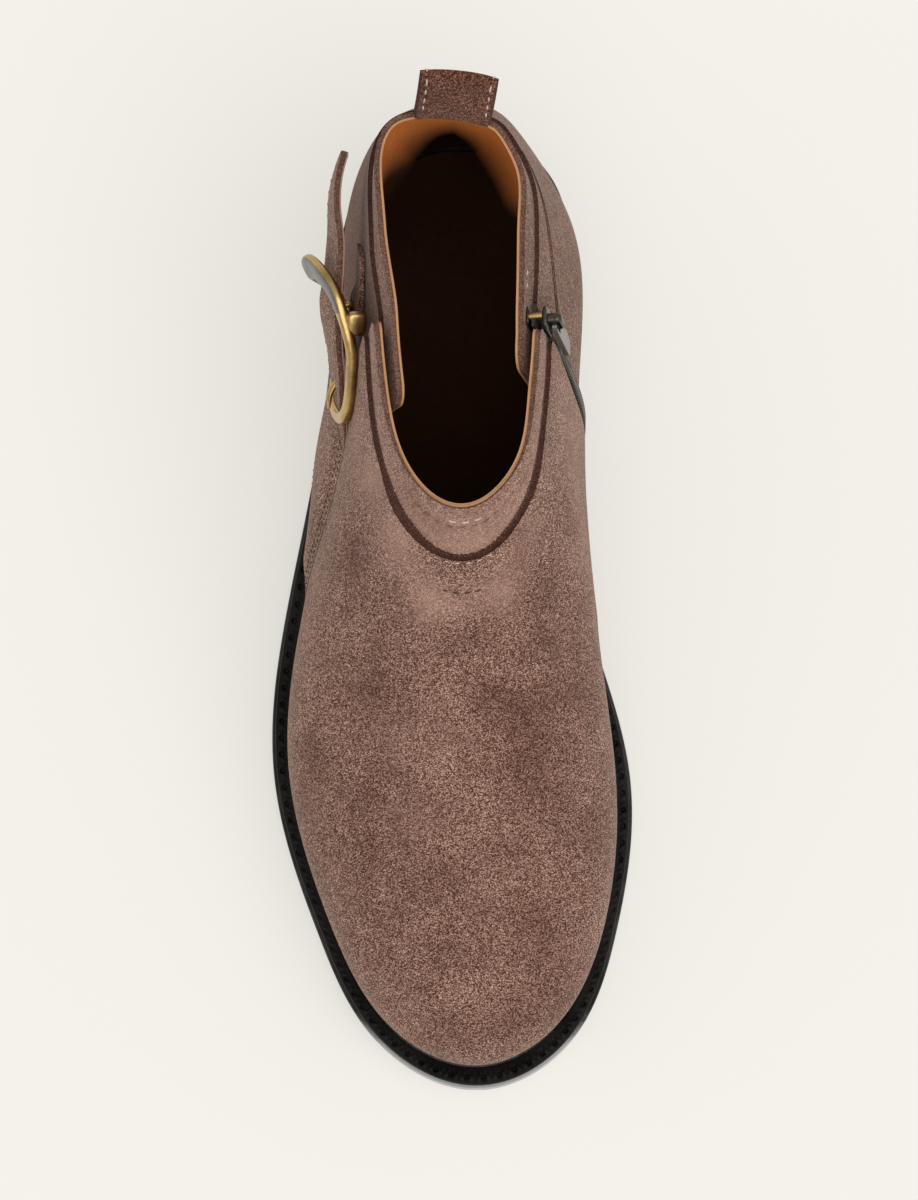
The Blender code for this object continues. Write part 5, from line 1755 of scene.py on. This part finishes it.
@dataclass
class Zip:
    """Zip on the medial wall: tapes, teeth, slider with its bridge, and the hinged pull tab."""

    last: Last
    set_back: float = 3.8
    chain_thick: float = 1.8
    low_z: float = 44.0
    top_z: float = 126.0
    tape_wide: float = 6.0
    tooth_pitch: float = 1.3
    slider_z: float = 120.0
    slider: tuple[float, float, float] = (10.0, 6.4, 1.4)
    bridge_long: float = 7.2
    bridge_wide: float = 2.4
    bridge_thick: float = 1.1
    bridge_open: float = 2.3
    plate: tuple[float, float, float] = (3.6, 2.6, 0.35)
    plate_at: tuple[float, float, float] = (-3.4, 0.0, -2.9)
    post_at: float = -5.4
    pull_long: float = 22.0
    pull_wide: float = 5.4
    pull_thick: float = 1.2
    window_wide: float = 3.4
    window_end: float = 5.6
    eye: float = 0.65

    def line_y(self, z: Array) -> Array:
        """Middle line of the chain behind the vamp's medial edge."""
        return self.last.lap("medial_y", z) + self.set_back

    def floor(self, angle: Array, level: Array) -> Array:
        """Depth of the quarter's face under the chain."""
        return self.last.quarter_depth + self.last.slit_depth(angle, level) - self.last.gap

    def frame(self) -> Frame:
        """Frame of the slider on top of the chain.

        Returns:
            The frame, with its first axis down the zip and its third outwards.
        """
        z = self.slider_z
        near = np.array([z + 4.0, z - 4.0])
        ends = self.last.wall(self.line_y(near), near, Side.MEDIAL, 0.0)
        made = wall_frame(self.last, self.line_y(z), z, Side.MEDIAL, ends[1] - ends[0])
        angle, level = self.last.on_wall(self.line_y(z), z, Side.MEDIAL)
        return made.moved((0.0, 0.0, -float(self.floor(angle, level) - self.chain_thick)))

    def build_chain(self) -> None:
        """Woven tapes with two rows of meshing teeth."""
        z = np.linspace(self.low_z, self.top_z, 120)
        across = np.linspace(-self.tape_wide / 2.0, self.tape_wide / 2.0, 9)
        y = self.line_y(z)[:, None] + across
        angle, level = self.last.on_wall(y, np.broadcast_to(z[:, None], y.shape), Side.MEDIAL)
        low = self.floor(angle, level)
        tape = slab(self.last.inset(angle, level, low - 0.7), self.last.inset(angle, level, low))
        chain = add_piece("zip_tapes", tape, [Palette.TAPE])
        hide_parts("zip_chain")
        z = np.arange(self.low_z + 1.0, self.slider_z - 4.0, self.tooth_pitch)
        teeth = []
        for sign, start in ((-1.0, 0.0), (1.0, self.tooth_pitch / 2.0)):
            y = self.line_y(z + start) + sign * 0.55
            angle, level = self.last.on_wall(y, z + start, Side.MEDIAL)
            middle = self.last.inset(angle, level, self.floor(angle, level) - 1.2)
            out = self.last.normal(angle, level)
            down = unit(np.gradient(middle, axis=0))
            teeth.append(self.teeth(middle, down, out))
        add_piece("zip_teeth", joined(teeth), [Palette.ZIP_METAL])

    def teeth(self, middle: Array, down: Array, out: Array) -> Form:
        """Small blocks with narrowed tops, one at each place.

        Args:
            middle: Places of the teeth.
            down: Directions down the zip.
            out: Outward directions.

        Returns:
            All teeth as one form.
        """
        ring = np.array([(-1.0, -1.0), (1.0, -1.0), (1.0, 1.0), (-1.0, 1.0)]) * np.array([0.36, 1.25])
        block = loft(np.stack([np.column_stack([ring * k, np.full(4, h)])
                               for k, h in ((1.0, -0.6), (1.0, 0.2), (0.75, 0.6))]))
        frames = np.stack([down, unit(np.cross(out, down)), out], axis=1)
        return copies(block, middle, frames)

    def build_slider(self, frame: Frame) -> None:
        """Rounded slider body with an arched bridge over it, and the plate behind the chain on its post.

        Args:
            frame: The slider's place.
        """
        low = self.last.gap + 0.2
        long, wide, thick = self.slider
        body = frame.place((0.0, 0.0, low + thick / 2.0))
        parts = [blob(body, frame.axes, (long / 2.0, wide / 2.0, thick / 2.0), 0.45)]
        top = low + thick
        half = self.bridge_long / 2.0 - self.bridge_thick / 2.0
        high = top + self.bridge_open + self.bridge_thick / 2.0
        line = np.array([(-half, top - 0.4), (-half, high - 0.5), (-half + 0.5, high), (half - 0.5, high),
                         (half, high - 0.5), (half, top - 0.4)])
        line = eased(sample(line, np.linspace(0.0, reach(line)[-1], 60)), 5)
        local = np.stack([line[:, 0], np.zeros(60), line[:, 1]], axis=1)
        up = frame.axes[2] + 0.01 * frame.axes[0]
        flat = self.bridge_thick / self.bridge_wide
        parts.append(tube(frame.place(local), self.bridge_wide / 2.0, 16, flat, up))
        parts.append(blob(frame.place(self.plate_at), frame.axes, self.plate, 0.45))
        slider = add_piece("slider_body", joined(parts), [Palette.ZIP_METAL])
        high = np.linspace(-2.8, 0.7, 9)
        post = frame.place(np.stack([np.full(9, self.post_at), np.zeros(9), high], axis=1))
        add_piece("slider_post", tube(post, 1.0, 16, up=frame.axes[0]), [Palette.BRASS])
        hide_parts("zip_slider")

    def build_pull(self, frame: Frame) -> None:
        """Pull tab: a section with softened edges carried round squared sines, between outline and window.

        Args:
            frame: The slider's place.
        """
        low = self.last.gap + 0.2 + self.slider[2] + self.bridge_open / 2.0
        turn = np.linspace(0.0, TURN, 96, endpoint=False)
        half = self.pull_wide / 2.0
        middle = (self.pull_long - self.eye) / 2.0
        reach_out = (self.pull_long + self.eye) / 2.0
        bent_cos = bent(np.cos(turn), 0.35)
        bent_sin = bent(np.sin(turn), 0.35)
        outside = np.stack([middle + reach_out * bent_cos, half * bent_sin], axis=1)
        centre = (self.eye + self.window_end) / 2.0
        deep = (self.window_end - self.eye) / 2.0
        inside = np.stack([centre + deep * bent_cos, self.window_wide / 2.0 * bent_sin], axis=1)
        rounding = ((0.0, -0.5), (0.12, -0.5), (0.12, 0.5), (0.0, 0.5))
        loops = []
        for line, sign in ((outside, -1.0), (inside, 1.0)):
            away = unit(line - line.mean(axis=0))
            for share, side in (rounding if sign < 0.0 else rounding[::-1]):
                flat = line + sign * away * share * abs(side) * 2.0
                loops.append(np.column_stack([flat, np.full(96, low + side * self.pull_thick)]))
        form = loft(frame.place(np.stack(loops, axis=1)), ring=True)
        pull = add_piece("pull_tab", form, [Palette.STEEL], PULL)
        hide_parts("zip_pull")

    def build(self) -> None:
        """Build chain, slider and pull."""
        frame = self.frame()
        self.build_chain()
        self.build_slider(frame)
        self.build_pull(frame)


@dataclass
class SoleUnit:
    """Outsole, heel, ribbed welt and insole."""

    last: Last
    welt_high: float = 4.0
    welt_step: float = 0.7
    rib_pitch: float = 4.6
    rib_deep: float = 0.8
    heel_taper: float = 2.5
    heel_trim: float = 0.6
    insole_thick: float = 3.0
    wall: float = 3.3
    tread_deep: float = 1.1
    tread_pitch: float = 8.0
    dish: float = 0.5
    plain_bloom: float = 0.05
    toe_bloom: float = 0.85

    @staticmethod
    def places(edge: Array, end: float, count: int) -> Array:
        """Places along an outline that crowd towards both its ends by (1 - cos) / 2."""
        turn = np.linspace(end * math.pi, (1.0 - end) * math.pi, count)
        return mix(edge[:, 1].min(), edge[:, 1].max(), (1.0 - np.cos(turn)) / 2.0)

    @staticmethod
    def rows(edge: Array, y: Array, share: Array, trim: float = 0.0) -> Array:
        """Rows across a closed outline in plan, straight between its lateral and its medial side.

        Args:
            edge: The outline, from the toe over the lateral side and back.
            y: Places of the rows.
            share: Shares of the way across.
            trim: How far the rows end inside the outline.

        Returns:
            Points in plan, rows by shares.
        """
        half = len(edge) // 2
        lateral = np.interp(y, edge[:half + 1, 1], edge[:half + 1, 0]) + trim
        medial = np.interp(y, edge[:half - 1:-1, 1], edge[:half - 1:-1, 0]) - trim
        x = mix(lateral[:, None], medial[:, None], share)
        return np.stack([x, np.broadcast_to(y[:, None], x.shape)], axis=-1)

    def build_outsole(self) -> None:
        """Outsole with a line round its edge, a tread of curved sine grooves under the ball and a painted
        highlight on its toe edge.
        """
        edge = self.last.sole_edge()[1]
        plan = self.rows(edge, self.places(edge, 0.012, 260), crowded(60, 0.6))
        x, along = plan[..., 0], plan[..., 1]
        middle = (x[:, :1] + x[:, -1:]) / 2.0
        inward = np.minimum(x - x[:, :1], x[:, -1:] - x)
        wave = 0.5 + 0.5 * np.sin((along + (x - middle) ** 2 / 90.0) * TURN / self.tread_pitch)
        ball = smooth((self.last.ball_end_y - along) / 6.0) * smooth((along + 112.0) / 8.0)
        zone = smooth((inward - 6.0) / 2.0) * ball
        groove = self.tread_deep * smooth((wave - 0.62) / 0.2) * zone
        top = raised(plan, self.last.seat(along))
        low = raised(plan, self.last.sole_bottom(along) + groove)
        rim = ((0.06, 0.25), (0.4, 0.25), (0.46, -0.1), (0.52, 0.25), (0.9, 0.2), (0.97, 0.0))
        form = slab(top, low, edge=rim)
        # Painted highlight: the toe edge turns light grey, as if lit from the front.
        near_toe = smooth((-form.points[:, 1] - 108.0) / 12.0)
        form.marks["bloom"] = self.plain_bloom + self.toe_bloom * near_toe
        sole = add_piece("sole_slab", form, [Palette.SOLE])
        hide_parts("outsole")

    def build_heel(self) -> None:
        """Heel block tapered to the floor, with the line of its top piece near the floor."""
        edge = self.last.sole_edge()[1]
        back = edge[:, 1].max()
        y = mix(self.last.breast_y, back, np.sin(np.linspace(0.0, 0.985, 90) * math.pi / 2.0))
        plan = self.rows(edge, y, crowded(40, 0.6), self.heel_trim)
        share = (y - self.last.breast_y) / (back - self.last.breast_y)
        top = raised(plan, self.last.sole_bottom(plan[..., 1]) - self.last.gap)
        low = raised(plan, np.zeros(plan.shape[:2]))
        middle = low[..., 0].mean(axis=1, keepdims=True)
        half = np.abs(low[:, -1:, 0] - low[:, :1, 0]) / 2.0
        low[..., 0] = middle + (low[..., 0] - middle) * np.maximum(1.0 - self.heel_taper / half, 0.4)
        low[..., 1] -= self.heel_taper * share[:, None]
        rim = ((0.03, 0.15), (0.58, 0.1), (0.61, -0.25), (0.64, 0.1), (0.95, 0.1))
        form = slab(top, low, edge=rim)
        form.marks["bloom"] = np.full(len(form.points), self.plain_bloom)
        heel = add_piece("heel_block", form, [Palette.SOLE])
        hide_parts("heel")

    def build_welt(self) -> None:
        """Flat welt round the upper with a row of short dents between the upper and its outer edge."""
        around, edge = self.last.sole_edge()
        angle = np.linspace(0.0, TURN, 1700, endpoint=False)
        outer = np.stack([np.interp(angle, around, edge[:, k]) for k in range(2)], axis=1)
        feather = self.last.hoop(0, angle)
        past = feather[:, 1] - self.last.edge_y(angle, 10.0)
        levels = np.linspace(0.0, 0.08, 9)[:, None]
        back = self.last.quarter_depth * smooth((past - 2.0) / 6.0)
        wall = self.last.inset(angle[None, :], levels, back[None, :])
        furthest = np.linalg.norm(wall[..., :2], axis=-1).argmax(axis=0)
        inner = wall[furthest, np.arange(len(angle)), :2]
        out = unit(outer - inner)
        outer = outer - out * self.welt_step
        inner = inner + out * (self.last.gap * 0.5)
        wide = np.linalg.norm(outer - inner, axis=1)
        way = reach(outer)
        place = way * np.round(way[-1] / self.rib_pitch) * self.rib_pitch / way[-1]
        beat = np.abs((place / self.rib_pitch) % 1.0 - 0.5) * self.rib_pitch
        rib = smooth((0.75 - beat) / 0.4) - 0.45 * smooth((0.7 - np.abs(beat - 1.35)) / 0.4)
        room = smooth((wide - 2.2) / 1.6)
        share = np.array([0.0, 0.0, 0.2, 0.36, 0.42, 0.48, 0.56, 0.64, 0.7, 0.78, 0.94, 1.0, 1.0])
        high = np.array([0.0] + [1.0] * 8 + [0.99, 0.95, 0.85, 0.0]) * self.welt_high
        channel = np.array([0.0, 0.0, 0.0, 0.0, 0.4, 1.0, 1.0, 1.0, 0.4, 0.0, 0.0, 0.0, 0.0])
        plan = mix(inner[:, None], outer[:, None], share[None, :, None])
        ribbed = mix(0.12, 1.0, rib)[:, None] * channel[None, :]
        dents = self.rib_deep * room[:, None] * ribbed
        z = self.last.seat(plan[..., 1]) + self.last.gap + high[None, :] - dents
        welt = add_piece("rib_welt", loft(raised(plan, z), ring=True), [Palette.WELT])
        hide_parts("welt")

    def build_insole(self) -> None:
        """Insole with a slightly dished top, inside the wall."""
        angle = np.linspace(0.0, TURN, 721)
        feather = self.last.hoop(0, angle)
        past = feather[:, 1] - self.last.edge_y(angle, 10.0)
        back = self.last.quarter_depth * smooth((past + 18.0) / 6.0)
        inner = self.last.inset(angle, np.zeros_like(angle), self.wall + 0.5 + back)
        across = np.linspace(0.0, 1.0, 40)
        plan = self.rows(inner, self.places(inner, 0.02, 160), across)
        seat = self.last.seat(plan[..., 1]) + self.last.gap
        dish = self.dish * (2.0 * across - 1.0) ** 2
        high = raised(plan, seat + self.insole_thick - self.dish + dish[None, :])
        form = slab(high, raised(plan, seat), edge=((0.2, 0.1), (0.8, 0.1)))
        insole = add_piece("sock_insole", form, [Palette.INSOLE])
        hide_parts("insole")

    def build(self) -> None:
        """Build every layer of the sole."""
        self.build_outsole()
        self.build_heel()
        self.build_welt()
        self.build_insole()


@dataclass
class Studio:
    """Pale floor, soft light and the camera over the toe."""

    elevation: float = 82.0
    distance: float = 1500.0
    target: tuple[float, float, float] = (2.2, -1.5, 40.0)
    lens: float = 168.75
    floor_colour: Colour = (243, 240, 233)
    floor_half: float = 3.0
    floor_glow: float = 0.6
    sky: float = 0.6
    sun: float = 1.55
    sun_from: tuple[float, float, float] = (0.25, -0.35, 1.0)
    sun_spread: float = 60.0

    def build_floor(self) -> None:
        """Flat pale floor."""
        half = self.floor_half
        mesh = bpy.data.meshes.new("floor")
        corners = [(-half, -half, 0.0), (half, -half, 0.0), (half, half, 0.0), (-half, half, 0.0)]
        mesh.from_pydata(corners, [], [(0, 1, 2, 3)])
        paint = bpy.data.materials.new("floor_paint")
        paint.use_nodes = True
        w = Wiring(paint.node_tree)
        tone = w.maths("MULTIPLY_ADD", w.noise(3.0, 2.0), 0.01, 1.0 - self.floor_glow)
        shader = paint.node_tree.nodes["Principled BSDF"]
        colour = w.tint(linear(self.floor_colour), 1.0, tone, "MULTIPLY")
        paint.node_tree.links.new(colour, shader.inputs["Base Color"])
        values = {"Emission Color": linear(self.floor_colour), "Emission Strength": self.floor_glow,
                  "Roughness": 0.9, "Specular IOR Level": 0.0}
        for label, value in values.items():
            shader.inputs[label].default_value = value
        mesh.materials.append(paint)
        floor = stand("floor", mesh)

    def build_light(self) -> None:
        """Even sky and one broad key light from the front on the medial side."""
        world = bpy.data.worlds.new("studio")
        world.use_nodes = True
        light = world.node_tree.nodes["Background"].inputs
        light["Color"].default_value = (1.0, 1.0, 1.0, 1.0)
        light["Strength"].default_value = self.sky
        bpy.context.scene.world = world
        lamp = bpy.data.lights.new("key", "SUN")
        lamp.energy = self.sun
        lamp.angle = math.radians(self.sun_spread)
        key = stand("key", lamp)
        key.rotation_euler = Vector(self.sun_from).to_track_quat("Z", "Y").to_euler()
        bpy.context.scene.view_settings.view_transform = "Standard"

    def build_camera(self) -> None:
        """Camera that looks down over the toe at the photograph's angle."""
        tilt = math.radians(self.elevation)
        away = Vector((0.0, -math.cos(tilt), math.sin(tilt)))
        data = bpy.data.cameras.new("camera")
        data.sensor_fit = "VERTICAL"
        data.sensor_height = 36.0
        data.lens = self.lens
        data.clip_end = 20.0
        camera = stand("camera", data)
        camera.location = (Vector(self.target) + away * self.distance) * MM
        camera.rotation_euler = away.to_track_quat("Z", "Y").to_euler()
        bpy.context.scene.camera = camera

    def build(self) -> None:
        """Build the stage."""
        self.build_floor()
        self.build_light()
        self.build_camera()


def main() -> None:
    """Build the sub-assemblies in order, then the stage."""
    logging.basicConfig(level=logging.INFO, format="%(name)s %(message)s")
    last = Last()
    strap = Strap(last)
    buckle = Buckle(last, strap)
    for part in (SoleUnit(last), Upper(last), strap, buckle, PullLoop(last), Zip(last), Studio()):
        part.build()
        LOG.info("%s done", type(part).__name__)


if __name__ == "__main__":
    main()
